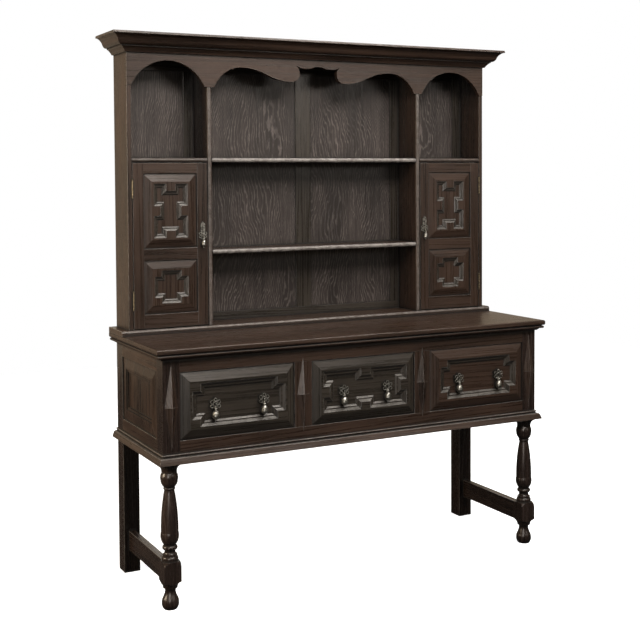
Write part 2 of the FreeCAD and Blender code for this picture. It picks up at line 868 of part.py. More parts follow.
def moulded_ring(name, outline, width, height, floor_y):
    """A geometric moulding along an outline: a lip, a slope, a flat and a slope down to the field."""
    block = prism(name + "_block", "XZ_Plane", [outline], height, y=floor_y)
    lip = inset(outline, width * ring_lip_share)
    slope = inset(outline, width * ring_slope_share)
    flat = inset(outline, width * ring_flat_share)
    edge = inset(outline, width)
    middle_y = floor_y - height * ring_middle_share
    edge_y = floor_y - height * ring_edge_share
    through = prism(name + "_through", "XZ_Plane", [edge], height + s.overrun, y=floor_y + s.overrun)
    upper = frustum(name + "_upper", slope, lip, middle_y, floor_y - height)
    lower = frustum(name + "_lower", edge, flat, edge_y, middle_y)
    return cut(name, block, through, lower, upper)


def disc(name, radius, thick, x, y, z):
    """A round plate that faces the front, its back at y."""
    return cylinder(name, radius, thick, (x, y - thick, z), "y")


def rosette(name, x, y, z, radius, lobe, hole):
    """A flat round plate with looped petals, pierced through each."""
    core = disc(name + "_core", radius * rosette_core_share, s.plate_thick, x, y, z)
    lobes = []
    holes = []
    for index in range(lobe_count):
        angle = full_circle * index / lobe_count
        spot_x = x + radius * math.sin(angle)
        spot_z = z + radius * math.cos(angle)
        lobes.append(disc("%s_lobe_%d" % (name, index), lobe, s.plate_thick, spot_x, y, spot_z))
        pierce = disc(
            "%s_hole_%d" % (name, index), hole, s.plate_thick + s.overrun * 2, spot_x, y + s.overrun,
            spot_z,
        )
        holes.append(pierce)
    blank = join(name + "_blank", core, *lobes)
    return cut(name + "_pierced", blank, join(name + "_holes", *holes))


def clevis(name, x, y, z, reach):
    """Two cheeks with a pin between them, standing out from a plate whose back is at y."""
    pivot_y = y - reach
    front_y = pivot_y - s.clevis_rise / 2
    half = s.clevis_width / 2
    slot_half = s.eye_width / 2 + s.eye_side_gap
    block = board(
        name + "_block", (x - half, x + half), (front_y, y), (z - s.clevis_rise / 2, z + s.clevis_rise / 2),
    )
    slot_back = pivot_y + s.eye_radius + s.eye_side_gap
    slot = board(
        name + "_slot", (x - slot_half, x + slot_half), (front_y - s.overrun, slot_back),
        (z - s.clevis_rise, z + s.clevis_rise),
    )
    pin = cylinder(name + "_pin", s.pin_radius, s.clevis_width, (x - half, pivot_y, z), "x")
    return join(name, cut(name + "_slotted", block, slot), pin)


def drop(name, x, y, z, reach, radius, length):
    """The pear drop: an eye on the pin, a stem, a collar and the pear, in one piece."""
    pivot_y = y - reach
    body = turned(name + "_pear", scaled(drop_shares, radius, -length), x=x, y=pivot_y, z=z)
    half = s.eye_width / 2
    eye = cylinder(name + "_eye", s.eye_radius, s.eye_width, (x - half, pivot_y, z), "x")
    solid = join(name + "_solid", body, eye)
    bore = cylinder(
        name + "_bore", s.pin_radius + s.pin_gap, s.eye_width + s.overrun * 2,
        (x - half - s.overrun, pivot_y, z), "x",
    )
    return cut(name, solid, bore)


def pull_plate(name, x, y, z, board_thick):
    """Rosette, boss, clevis, and the bolt through the board with its nut behind."""
    plate = rosette(name, x, y, z, s.rosette_radius, s.rosette_lobe_radius, s.rosette_hole_radius)
    boss = disc(name + "_boss", s.boss_disc_radius, s.plate_thick * 2, x, y, z)
    bolt_length = board_thick + s.nut_thick
    bolt = cylinder(name + "_bolt", s.bolt_radius, bolt_length, (x, y, z), "y")
    fitting = join(name + "_fitting", plate, boss, clevis(name + "_clevis", x, y, z, s.pivot_reach), bolt)
    nut = cylinder(name + "_nut", s.nut_radius, s.nut_thick, (x, y + board_thick, z), "y")
    nut_bore = cylinder(
        name + "_nut_bore", s.bolt_radius, s.nut_thick + s.overrun * 2, (x, y + board_thick - s.overrun, z),
        "y",
    )
    return [fitting, cut(name + "_ring", nut, nut_bore)]


def make_drawer(word, centre, pattern):
    """One drawer: moulded front, geometric moulding, box and two drop pulls."""
    name = "drawer_" + word
    half = opening_width / 2
    left = centre - half + s.drawer_gap
    right = centre + half - s.drawer_gap
    low = opening_foot + s.drawer_gap
    high = opening_head - s.drawer_gap
    rim_y = carcase_front + s.front_recess
    inner_y = rim_y + s.front_thick
    plateau_y = rim_y - s.front_bevel_rise
    field_y = plateau_y + s.field_depth
    slab = board(name + "_slab", (left, right), (rim_y, inner_y), (low, high))
    raised = bevelled(
        name + "_raised", (left, right), (low, high), rim_y, s.front_bevel_rise, s.front_bevel_width,
    )
    margin = s.front_bevel_width + s.front_flat_width
    edges = (left + margin, low + margin, right - margin, high - margin)
    field_rise = high - low - margin * 2
    if pattern == "notched":
        outline = notched(*edges, *(field_rise * share for share in front_notch_shares))
    else:
        outline = tabbed(*edges, *(field_rise * share for share in front_tab_shares))
    field = prism(name + "_field", "XZ_Plane", [outline], s.field_depth + s.overrun, y=field_y)
    bolt_holes = []
    pull_z = (low + high) / 2
    pull_room = half - s.drawer_gap - margin - field_rise * front_tab_shares[1] - s.front_moulding_width
    plates = []
    for side_word, side in (("left", -1), ("right", 1)):
        x = centre + pull_room * pull_place_share * side
        pull = "pull_%s_%s" % (word, side_word)
        bolt_holes.append(cylinder(
            pull + "_hole", s.bolt_radius + s.bolt_gap, s.front_thick + s.front_bevel_rise + s.overrun * 2,
            (x, field_y - s.overrun, pull_z), "y",
        ))
        plates += pull_plate(pull, x, field_y, pull_z, inner_y - field_y)
        keep(
            pull + "_drop",
            drop(pull + "_drop", x, field_y, pull_z, s.pivot_reach, s.drop_radius, s.drop_length),
        )
    keep(
        "drawer_front_" + word,
        cut(name + "_front", join(name + "_blank", slab, raised), field, *bolt_holes),
    )
    keep("drawer_moulding_" + word, moulded_ring(
        name + "_moulding", outline, s.front_moulding_width, s.front_moulding_height, field_y,
    ))
    keep("pull_plates_" + word, group("pull_plates_" + word, *plates))

    side_low = opening_foot + s.runner_gap
    side_high = opening_head - s.drawer_side_room
    rear = back - s.back_board_thick - s.drawer_end_room
    outer_left = centre - half + s.drawer_side_gap
    outer_right = centre + half - s.drawer_side_gap
    left_side = board(
        name + "_side_left", (outer_left, outer_left + s.drawer_side_thick), (inner_y, rear),
        (side_low, side_high),
    )
    right_side = board(
        name + "_side_right", (outer_right - s.drawer_side_thick, outer_right), (inner_y, rear),
        (side_low, side_high),
    )
    inside = (outer_left + s.drawer_side_thick, outer_right - s.drawer_side_thick)
    bottom_low = side_low + s.drawer_bottom_lift
    bottom_high = bottom_low + s.drawer_bottom_thick
    back_piece = board(name + "_back", inside, (rear - s.drawer_side_thick, rear), (bottom_high, side_high))
    bottom = board(name + "_bottom", inside, (inner_y, rear), (bottom_low, bottom_high))
    keep("drawer_box_" + word, group("drawer_box_" + word, left_side, right_side, back_piece, bottom))


def make_rack_frame():
    """Sill, sides, partitions, shelves, top and panelled back of the rack."""
    half = s.table_width / 2
    sill_outline = [
        (sill_front + s.sill_round, s.sill_thick, quarter_share), (sill_front, s.sill_thick - s.sill_round),
        (sill_front, -s.sill_sink), (back, -s.sill_sink), (back, s.sill_thick),
    ]
    keep("rack_sill", prism("rack_sill", "YZ_Plane", [sill_outline], half * 2, x=-half, z=s.table_height))

    def upright(name, left, right, rear, high, nose):
        """A standing board with rounded front edges, cut back behind the frieze."""
        body = prism(name, "XY_Plane", [[
            (left, rack_front + nose, quarter_share), (left + nose, rack_front),
            (right - nose, rack_front, quarter_share), (right, rack_front + nose), (right, rear),
            (left, rear),
        ]], high - rack_foot, z=rack_foot)
        notch = board(
            name + "_notch", (left - s.overrun, right + s.overrun), (rack_front - s.overrun, frieze_back),
            (frieze_foot, rack_head + s.overrun),
        )
        return cut(name + "_board", body, notch)

    both_sides("rack_side", upright("rack_side", rack_inner, rack_half, back, rack_head, s.side_nose))
    partition = upright(
        "partition", partition_place, partition_outer, back_frame_front, rack_ceiling, s.partition_nose,
    )
    mortise_depth = s.lock_bolt_throw - s.lock_setback - s.door_gap + s.lock_end_gap
    mortise = board(
        "bolt_mortise",
        (partition_outer - mortise_depth, partition_outer + s.overrun),
        (lock_bolt_front - s.bolt_mortise_gap, lock_bolt_front + s.lock_bolt_thick + s.bolt_mortise_gap),
        (
            lock_middle - s.lock_bolt_rise / 2 - s.bolt_mortise_gap,
            lock_middle + s.lock_bolt_rise / 2 + s.bolt_mortise_gap,
        ),
    )
    partition = cut("partition_morticed", partition, mortise)
    keep("rack_partitions", group("rack_partitions", partition, mirror("partition_left", partition)))

    def shelf(name, left, right, top):
        """A shelf with a rounded nose."""
        nose = rack_front + s.shelf_thick * (shelf_nose_share / 2)
        outline = [
            (nose, s.shelf_thick, shelf_nose_share), (nose, as_size(0)),
            (back_frame_front, as_size(0)), (back_frame_front, s.shelf_thick),
        ]
        return prism(name, "YZ_Plane", [outline], right - left, x=left, z=top - s.shelf_thick)

    place = partition_place
    keep("centre_shelves", group(
        "centre_shelves", shelf("upper_shelf", -place, place, upper_shelf_top),
        shelf("lower_shelf", -place, place, lower_shelf_top),
    ))
    niche = shelf("niche_shelf", partition_outer, rack_inner, upper_shelf_top)
    keep("niche_shelves", group("niche_shelves", niche, mirror("niche_shelf_left", niche)))
    keep(
        "rack_top",
        board("rack_top", (-rack_inner, rack_inner), (frieze_back, back), (rack_ceiling, rack_head)),
    )

    deep = (back_frame_front, back)
    window_low = rack_foot + s.back_rail
    window_high = rack_ceiling - s.back_top_rail
    panel_front = back_frame_front + s.back_panel_recess
    stile_edge = rack_inner - s.back_stile
    muntin_edge = s.back_muntin / 2
    flank = (partition_place - s.back_stile, partition_outer + s.back_stile)
    between = (-stile_edge, stile_edge)
    stile = board("back_stile_right", (stile_edge, rack_inner), deep, (rack_foot, rack_ceiling))
    flank_muntin = board("flank_muntin_right", flank, deep, (window_low, window_high))
    keep("back_frame", group(
        "back_frame",
        stile, mirror("back_stile_left", stile),
        board("back_foot_rail", between, deep, (rack_foot, window_low)),
        board("back_head_rail", between, deep, (window_high, rack_ceiling)),
        flank_muntin, mirror("flank_muntin_left", flank_muntin),
        board("middle_muntin", (-muntin_edge, muntin_edge), deep, (window_low, window_high)),
    ))
    panels = []
    for word, span in (("centre", (muntin_edge, flank[0])), ("niche", (flank[1], stile_edge))):
        panel = board(
            "back_panel_" + word, span, (panel_front, panel_front + s.back_panel_thick),
            (window_low, window_high),
        )
        panels += [panel, mirror("back_panel_%s_left" % word, panel)]
    keep("back_panels", group("back_panels", *panels))


def make_frieze():
    """The frieze board with its arches and lobes, and the cornice planted on it."""
    foot = frieze_foot
    outer = rack_half - s.side_arch_shoulder
    inner = partition_outer + s.side_arch_margin
    side_half = (outer - inner) / 2
    side_bulge = -math.tan(math.atan(number(s.side_arch_rise) / number(side_half)))
    crest_x = partition_place - s.centre_arch_crest
    spring_x = partition_place - s.centre_arch_margin
    crest_z = foot + s.centre_arch_rise
    lobe_z = crest_z - s.lobe_drop
    cusp_z = foot + s.cusp_rise
    slope_x = (crest_x + s.lobe_place) / 2
    slope_z = (crest_z + lobe_z) / 2
    lobe_side_x = s.lobe_place - s.lobe_radius
    lobe_side_z = lobe_z + s.lobe_radius
    crest_chord = number(spring_x - crest_x)
    crest_bulge = math.tan(math.atan2(number(s.centre_arch_rise), crest_chord) / 2)
    right_half = [
        (as_size(0), foot + s.bracket_peak, -bracket_bulge_share),
        (s.bracket_dip_place / 2, foot + (s.bracket_peak + s.bracket_dip) / 2, bracket_bulge_share),
        (s.bracket_dip_place, foot + s.bracket_dip, bracket_bulge_share),
        (s.cusp_place, cusp_z, cusp_bulge_share),
        (lobe_side_x, lobe_side_z, quarter_share),
        (s.lobe_place, lobe_z, slope_bulge_share),
        (slope_x, slope_z, -slope_bulge_share),
        (crest_x, crest_z, -crest_bulge),
        (spring_x, foot),
        (inner, foot, side_bulge),
        (outer, foot),
        (rack_half, foot),
    ]
    left_half = []
    for index in range(len(right_half) - 1, 0, -1):
        x, z = right_half[index][:2]
        before = right_half[index - 1]
        left_half.append((-x, z) + tuple(before[2:]))
    outline = left_half + right_half + [(rack_half, rack_head), (-rack_half, rack_head)]
    keep("frieze_board", prism("frieze_board", "XZ_Plane", [outline], s.frieze_thick, y=frieze_back))
    keep("cornice", moulding(
        "cornice", cornice_shares, s.cornice_reach, s.cornice_rise,
        rack_half, frieze_front, s.table_height + s.rack_height - s.cornice_rise,
    ))


door_hinge_x = rack_inner - s.hinge_gap
door_free_x = partition_outer + s.door_gap
door_low = rack_foot + s.door_foot_gap
door_high = upper_shelf_top - s.shelf_thick - s.door_gap
handle_place = door_free_x + s.handle_inset
handle_pivot = door_low + (door_high - door_low) * handle_share
door_back = rack_front + s.door_thick
lock_middle = handle_pivot + s.handle_plate_rise - s.keyhole_drop * 2
lock_front = door_back
lock_bolt_front = lock_front + (s.lock_thick - s.lock_bolt_thick) / 2


def make_door():
    """The right-hand door with all that it carries, mirrored for the left."""
    lowest = door_low + s.door_bottom_rail
    highest = door_high - s.door_top_rail
    low_opening = (lowest, lowest + (highest - lowest - s.door_middle_rail) * lower_panel_share)
    high_opening = (low_opening[1] + s.door_middle_rail, highest)
    deep = (rack_front, door_back)
    inner = (door_free_x + s.door_stile, door_hinge_x - s.door_stile)
    free_stile = board("free_stile", (door_free_x, inner[0]), deep, (door_low, door_high))
    hinge_stile = board("hinge_stile", (inner[1], door_hinge_x), deep, (door_low, door_high))
    rails = [
        board("bottom_rail", inner, deep, (door_low, low_opening[0])),
        board("middle_rail", inner, deep, (low_opening[1], high_opening[0])),
        board("top_rail", inner, deep, (high_opening[1], door_high)),
    ]
    both_sides("door_frame", group("door_frame", free_stile, hinge_stile, *rails))

    rim_y = rack_front + s.door_rim_recess
    panel_back = rim_y + s.door_panel_thick
    plateau_y = rim_y - s.door_bevel_rise
    field_y = plateau_y + s.door_field_depth
    margin = s.door_bevel_width + s.door_flat_width
    panels = []
    rings = []
    for word, opening in (("lower", low_opening), ("upper", high_opening)):
        core = board("door_core_" + word, inner, (rim_y, panel_back), opening)
        raised = bevelled(
            "door_raised_" + word, inner, opening, rim_y, s.door_bevel_rise, s.door_bevel_width,
        )
        edges = (inner[0] + margin, opening[0] + margin, inner[1] - margin, opening[1] - margin)
        field_width = inner[1] - inner[0] - margin * 2
        if word == "lower":
            outline = notched(*edges, *(field_width * share for share in door_notch_shares))
        else:
            outline = tabbed(*edges, *(field_width * share for share in door_tab_shares))
        field = prism(
            "door_field_" + word, "XZ_Plane", [outline], s.door_field_depth + s.overrun, y=field_y,
        )
        panels.append(cut("door_panel_" + word, join("door_blank_" + word, core, raised), field))
        rings.append(moulded_ring(
            "door_ring_" + word, outline, s.door_moulding_width, s.door_moulding_height, field_y,
        ))
    both_sides("door_panels", group("door_panels", *panels))
    both_sides("door_mouldings", group("door_mouldings", *rings))

    fixed = []
    moving = []
    for word, middle in (("lower", door_low + s.hinge_lower_lift), ("upper", door_high - s.hinge_upper_drop)):
        fixed_leaf, moving_leaf = hinge("hinge_" + word, middle)
        fixed.append(fixed_leaf)
        moving.append(moving_leaf)
    both_sides("door_hinge_leaves", group("door_hinge_leaves", *moving))
    jamb = group("jamb_leaves", *fixed)
    keep("jamb_hinge_leaves", group("jamb_hinge_leaves", *fixed, mirror("jamb_leaves_left", jamb)))

    make_handle()
    make_lock()


def hinge(name, middle):
    """A butt hinge: the jamb leaf has the pin and the outer knuckles, the door leaf the middle one."""
    axis_x = rack_inner - s.hinge_gap / 2
    axis_y = rack_front - s.barrel_proud
    low = middle - s.hinge_rise / 2
    high = middle + s.hinge_rise / 2
    third = s.hinge_rise * knuckle_share
    leaf_back = rack_front + s.leaf_width
    bore_radius = s.hinge_pin_radius + s.knuckle_bore_gap

    def leaf(word, x_pair, spans):
        """A flat leaf, with knuckles on the given spans of the barrel."""
        parts = [board("%s_%s" % (name, word), x_pair, (rack_front, leaf_back), (low, high))]
        for index, (start, end) in enumerate(spans):
            tag = "%s_%s_%d" % (name, word, index)
            parts.append(board(tag + "_neck", x_pair, (axis_y, rack_front), (start, end)))
            parts.append(
                cylinder(tag + "_knuckle", s.barrel_radius, end - start, (axis_x, axis_y, start), "z"),
            )
        return parts

    jamb_x = (axis_x + s.knuckle_gap / 2, axis_x + s.knuckle_gap / 2 + s.leaf_thick)
    door_x = (axis_x - s.knuckle_gap / 2 - s.leaf_thick, axis_x - s.knuckle_gap / 2)
    fixed_spans = ((low, low + third - s.knuckle_gap), (high - third + s.knuckle_gap, high))
    fixed_parts = leaf("jamb", jamb_x, fixed_spans)
    pin = cylinder(name + "_pin", s.hinge_pin_radius, s.hinge_rise, (axis_x, axis_y, low), "z")
    clear = cylinder(
        name + "_clear", s.barrel_radius + s.knuckle_gap, third + s.knuckle_gap * 2,
        (axis_x, axis_y, low + third - s.knuckle_gap), "z",
    )
    fixed = join(
        name + "_fixed", cut(name + "_jamb_cut", join(name + "_jamb_join", *fixed_parts), clear), pin,
    )
    moving_parts = leaf("door", door_x, ((low + third, high - third),))
    bore = cylinder(
        name + "_bore", bore_radius, s.hinge_rise + s.overrun * 2, (axis_x, axis_y, low - s.overrun), "z",
    )
    clears = []
    for index, (start, end) in enumerate(fixed_spans):
        clears.append(cylinder(
            "%s_gap_%d" % (name, index), s.barrel_radius + s.knuckle_gap, end - start + s.knuckle_gap * 2,
            (axis_x, axis_y, start - s.knuckle_gap), "z",
        ))
    moving = cut(name + "_moving", join(name + "_door_join", *moving_parts), bore, *clears)
    return fixed, moving


def make_handle():
    """An arch-topped plate with a keyhole above a pierced rosette, and its drop."""
    x = handle_place
    z = handle_pivot
    y = rack_front
    half = s.handle_plate_width / 2
    arch_z = z + s.handle_plate_rise - half
    low = z + s.handle_disc_radius + s.handle_lobe_radius / 2
    back_plate = board("handle_back", (x - half, x + half), (y - s.plate_thick, y), (low, arch_z))
    arch = disc("handle_arch", half, s.plate_thick, x, y, arch_z)
    finial = disc("handle_finial", s.finial_radius, s.plate_thick, x, y, arch_z + half)
    round_plate = rosette(
        "handle_rosette", x, y, z, s.handle_disc_radius, s.handle_lobe_radius, s.handle_hole_radius,
    )
    pivot = clevis("handle_clevis", x, y, z, s.handle_reach)
    plate = join("handle_plate", back_plate, arch, finial, round_plate, pivot)
    key_z = lock_middle
    keyhole = disc("keyhole", s.keyhole_radius, s.plate_thick + s.overrun * 2, x, y + s.overrun, key_z)
    slot = board(
        "keyhole_slot", (x - s.keyhole_radius / 2, x + s.keyhole_radius / 2),
        (y - s.plate_thick - s.overrun, y + s.overrun), (key_z - s.keyhole_drop, key_z),
    )
    both_sides("door_handle_plate", cut("handle_plate_cut", plate, keyhole, slot))
    both_sides("door_drop", drop(
        "handle_drop", x, y, z, s.handle_reach, s.handle_drop_radius, s.handle_drop_length,
    ))


def make_lock():
    """A box lock on the back of the free stile, its bolt drawn back."""
    edge = door_free_x + s.lock_setback
    middle = lock_middle
    half = s.lock_rise / 2
    case = board(
        "lock_box", (edge, edge + s.lock_width), (lock_front, lock_front + s.lock_thick),
        (middle - half, middle + half),
    )
    channel = board(
        "lock_channel",
        (edge - s.overrun, edge + s.lock_bolt_length + s.lock_bolt_gap),
        (lock_bolt_front - s.lock_bolt_gap, lock_bolt_front + s.lock_bolt_thick + s.lock_bolt_gap),
        (middle - s.lock_bolt_rise / 2 - s.lock_bolt_gap, middle + s.lock_bolt_rise / 2 + s.lock_bolt_gap),
    )
    both_sides("lock_case", cut("lock_case", case, channel))
    both_sides("lock_bolt", board(
        "lock_bolt", (edge, edge + s.lock_bolt_length),
        (lock_bolt_front, lock_bolt_front + s.lock_bolt_thick),
        (middle - s.lock_bolt_rise / 2, middle + s.lock_bolt_rise / 2),
    ))


def check_and_write():
    """Stops on any failed object or bad shape, then writes one file per node."""
    doc.recompute()
    failed = [item.Name for item in doc.Objects if "Invalid" in item.State or "Error" in item.State]
    if failed:
        raise RuntimeError("failed objects: %s" % ", ".join(failed))
    for name, piece in nodes.items():
        shape = piece.Shape
        if shape.isNull() or not shape.isValid() or not shape.Solids:
            raise RuntimeError("bad shape: %s" % name)
    os.makedirs("parts", exist_ok=True)
    for name, piece in nodes.items():
        piece.Shape.exportStep("parts/%s.step" % name)
        print("%-24s %2d solids, volume %.0f" % (name, len(piece.Shape.Solids), piece.Shape.Volume))


make_table_top()
make_front_leg()
make_back_posts_and_stretchers()
make_carcase()
drawer_pitch = opening_width + s.divider_width
make_drawer("left", -drawer_pitch, "notched")
make_drawer("middle", as_size(0), "tabbed")
make_drawer("right", drawer_pitch, "notched")
make_rack_frame()
make_frieze()
make_door()
check_and_write()
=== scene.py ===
"""The dressed look of the oak dresser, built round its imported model. Metres, front towards -Y."""
import json
import math

import bmesh
import bpy
from mathutils import Matrix, Vector
from mathutils.bvhtree import BVHTree

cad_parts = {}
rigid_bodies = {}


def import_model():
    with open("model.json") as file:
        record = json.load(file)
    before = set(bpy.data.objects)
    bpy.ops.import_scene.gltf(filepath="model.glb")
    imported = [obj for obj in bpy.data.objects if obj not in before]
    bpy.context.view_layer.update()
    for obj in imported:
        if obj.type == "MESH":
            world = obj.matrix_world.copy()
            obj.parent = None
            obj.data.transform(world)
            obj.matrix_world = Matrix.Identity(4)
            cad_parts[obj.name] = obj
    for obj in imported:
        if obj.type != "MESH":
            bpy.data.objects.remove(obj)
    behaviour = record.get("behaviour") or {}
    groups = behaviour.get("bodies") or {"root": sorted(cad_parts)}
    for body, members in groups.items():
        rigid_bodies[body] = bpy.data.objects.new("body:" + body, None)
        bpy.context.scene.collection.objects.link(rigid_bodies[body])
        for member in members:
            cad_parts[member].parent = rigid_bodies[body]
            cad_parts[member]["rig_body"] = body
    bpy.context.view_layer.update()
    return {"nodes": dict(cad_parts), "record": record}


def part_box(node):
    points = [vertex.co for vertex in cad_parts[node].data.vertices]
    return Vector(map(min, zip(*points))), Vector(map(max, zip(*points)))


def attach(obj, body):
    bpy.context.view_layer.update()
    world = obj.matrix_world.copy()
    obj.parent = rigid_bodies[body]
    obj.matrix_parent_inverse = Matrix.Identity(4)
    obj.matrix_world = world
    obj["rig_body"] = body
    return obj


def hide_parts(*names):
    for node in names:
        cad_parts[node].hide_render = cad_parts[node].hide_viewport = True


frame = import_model()

X, Y, Z = range(3)

# The photograph's view: a long lens a little above the table, to the left of the middle.
CAMERA_PLACE = (-1.97906, -3.71544, 1.40909)
CAMERA_YAW = math.radians(27.388)
CAMERA_PITCH = math.radians(2.233)
CAMERA_ROLL = math.radians(-0.326)
CAMERA_LENS = 64.772
CAMERA_SENSOR = 36
CAMERA_SHIFT = -0.15625


# Shader nodes

# The sockets of a colour Mix node.
MIX_SOCKETS = {"factor": 0, "first": 6, "second": 7}
MIX_RESULT = 2


def new_node(tree, kind, **values):
    """One shader node, with its settings and the plain values of its inputs."""
    node = tree.nodes.new(kind)
    for name, value in values.items():
        if hasattr(node, name):
            setattr(node, name, value)
        else:
            node.inputs[name].default_value = value
    return node


def link(tree, start, end):
    """Joins two sockets."""
    tree.links.new(start, end)


def maths(tree, operation, first, second=0.0, third=None, clamp=False):
    """A Math node on sockets or plain numbers."""
    node = new_node(tree, "ShaderNodeMath", operation=operation, use_clamp=clamp)
    for index, value in enumerate((first, second, third)):
        if value is None:
            continue
        if isinstance(value, (int, float)):
            node.inputs[index].default_value = value
        else:
            link(tree, value, node.inputs[index])
    return node.outputs[0]


def remap(tree, value, span, to_low=0.0, to_high=1.0, smooth=True):
    """A Map Range node, from a span of the value."""
    node = new_node(tree, "ShaderNodeMapRange", interpolation_type="SMOOTHSTEP" if smooth else "LINEAR")
    link(tree, value, node.inputs["Value"])
    for label, number in zip(("From Min", "From Max", "To Min", "To Max"), (*span, to_low, to_high)):
        node.inputs[label].default_value = number
    return node.outputs["Result"]


def stretched(tree, vector, scale):
    """A vector with each axis multiplied."""
    node = new_node(tree, "ShaderNodeVectorMath", operation="MULTIPLY")
    link(tree, vector, node.inputs[0])
    node.inputs[1].default_value = scale
    return node.outputs[0]


def noise(tree, vector, scale, detail, roughness):
    """The value of a Noise Texture."""
    node = new_node(tree, "ShaderNodeTexNoise", Scale=scale, Detail=detail, Roughness=roughness)
    link(tree, vector, node.inputs["Vector"])
    return node.outputs["Fac"]


def mix_colour(tree, factor, first, second):
    """A colour mix, on sockets or plain colours."""
    node = new_node(tree, "ShaderNodeMix", data_type="RGBA")
    for key, value in (("factor", factor), ("first", first), ("second", second)):
        socket = node.inputs[MIX_SOCKETS[key]]
        if isinstance(value, bpy.types.NodeSocket):
            link(tree, value, socket)
        else:
            socket.default_value = (*value, 1.0)
    return node.outputs[MIX_RESULT]


def attribute(tree, name, output="Fac"):
    """An attribute of the mesh."""
    return new_node(tree, "ShaderNodeAttribute", attribute_name=name).outputs[output]


def principled(name):
    """A material with its Principled shader, and the tree that holds them."""
    material = bpy.data.materials.new(name)
    material.use_nodes = True
    tree = material.node_tree
    return material, tree, tree.nodes["Principled BSDF"]


def new_group(name, inputs, outputs):
    """An empty node group: inputs are (kind, name, default), outputs are names of numbers."""
    group = bpy.data.node_groups.new(name, "ShaderNodeTree")
    for kind, label, default in inputs:
        socket = group.interface.new_socket(label, in_out="INPUT", socket_type="NodeSocket" + kind)
        if default is not None:
            socket.default_value = default
    for label in outputs:
        group.interface.new_socket(label, in_out="OUTPUT", socket_type="NodeSocketFloat")
    return group, group.nodes.new("NodeGroupInput").outputs, group.nodes.new("NodeGroupOutput").inputs


# Oak's figure: how each noise is stretched along the grain and across it, its detail and roughness.
FIGURE = {
    "flow": ((2.6, 5.0, 5.0), 1.0, 0.4),
    "wave": ((15.0, 55.0, 55.0), 1.0, 0.5),
    "jag": ((50.0, 190.0, 190.0), 1.0, 0.6),
    "fading": ((12.0, 30.0, 30.0), 2.0, 0.6),
    "streaks": ((2.5, 130.0, 130.0), 4.0, 0.6),
    "pores": ((45.0, 900.0, 900.0), 2.0, 0.7),
    "clouds": ((3.0, 9.0, 9.0), 3.0, 0.5),
}

# How many lines the flow, the wave and the jag shift the growth lines by.
FLOW_SHIFT = 30.0
WAVE_SHIFT = 2.4
JAG_SHIFT = 0.7

# The spans of the noises from nothing to full, and what is left of a line where it fades.
LINE_SPAN = (0.2, 0.5)
FADING_SPAN = (0.3, 0.66)
FADED_LINE = 0.25
STREAK_SPAN = (0.32, 0.7)
PORE_SPAN = (0.54, 0.68)
CLOUD_SPAN = (0.34, 0.68)
USUAL_SPACING = 0.011


def oak_grain_group():
    """Oak along the first axis of the grain vector: growth lines, streaks, pores and clouds."""
    group, given, out = new_group(
        "oak_grain",
        [("Vector", "Grain", None), ("Float", "Line spacing", USUAL_SPACING), ("Float", "Flame", 1.0)],
        ["Lines", "Streaks", "Pores", "Clouds"],
    )

    def figure(name):
        stretch, detail, roughness = FIGURE[name]
        return noise(group, stretched(group, given["Grain"], stretch), 1.0, detail, roughness)

    split = group.nodes.new("ShaderNodeSeparateXYZ")
    link(group, given["Grain"], split.inputs[0])
    across = maths(group, "DIVIDE", split.outputs["Y"], given["Line spacing"])
    flow = maths(group, "MULTIPLY", figure("flow"), maths(group, "MULTIPLY", given["Flame"], FLOW_SHIFT))
    field = maths(group, "ADD", across, flow)
    wave_shift = maths(group, "MULTIPLY", given["Flame"], WAVE_SHIFT)
    field = maths(group, "MULTIPLY_ADD", figure("wave"), wave_shift, field)
    field = maths(group, "MULTIPLY_ADD", figure("jag"), JAG_SHIFT, field)
    line = remap(group, maths(group, "PINGPONG", field, 0.5), LINE_SPAN)
    fading = remap(group, figure("fading"), FADING_SPAN, FADED_LINE)
    link(group, maths(group, "MULTIPLY", line, fading), out["Lines"])
    link(group, remap(group, figure("streaks"), STREAK_SPAN), out["Streaks"])
    link(group, remap(group, figure("pores"), PORE_SPAN), out["Pores"])
    link(group, remap(group, figure("clouds"), CLOUD_SPAN), out["Clouds"])
    return group


OAK_GRAIN = oak_grain_group()

# How far streaks, clouds and the board's own tone move its ground from dark to light.
STREAK_SHADE = 0.5
CLOUD_SHADE = 0.3
TONE_SHADE = 0.25

# How strongly the growth lines show on dark ground, how much more on light, and the pores.
LINE_ON_DARK = 0.4
LINE_ON_LIGHT = 0.6
PORE_SHADE = 0.55

# Worn places and their painted highlights are patchy: the patches to a metre, their detail and roughness,
# span and least lightening.
PATCHES = (60.0, 3.0, 0.6)
PATCH_SPAN = (0.35, 0.65)
PATCH_LEAST = 0.45

# Painted shade with old wax: narrow grooves and wide corners darken towards a wax colour, over these reaches
# in metres.
NARROW_REACH = 0.009
NARROW_SPAN = (0.55, 0.97)
WIDE_REACH = 0.025
WIDE_SPAN = (0.3, 0.95)
WIDE_SHADE = 0.25
RECESS_SAMPLES = 5
WAX_AND_SHADE = (0.003, 0.0022, 0.0018)

# The polish, and how much streaks, pores and old wax roughen it.
POLISH = 0.35
POLISH_TINT = (1.0, 0.92, 0.84)
STREAK_ROUGH = 0.1
PORE_ROUGH = 0.15
WAX_ROUGH = 0.55

# The relief of the grain.
STREAK_HEIGHT = 0.35
PORE_DEPTH = 0.8
OAK_RELIEF = {"Strength": 0.3, "Distance": 0.0003}

# Cast metal: its patches of tarnish, pits, dirt in its corners, and how much tarnish roughens it.
TARNISH = (160.0, 4.0, 0.6)
TARNISH_SPAN = (0.38, 0.66)
DULL_SPAN = (0.3, 0.7)
DULLNESS = 0.25
PITS = (500.0, 3.0, 0.6)
METAL_RELIEF = {"Strength": 0.25, "Distance": 0.0003}
METAL_REACH = 0.004
METAL_SPAN = (0.2, 0.8)
GRIME = (0.01, 0.009, 0.008)


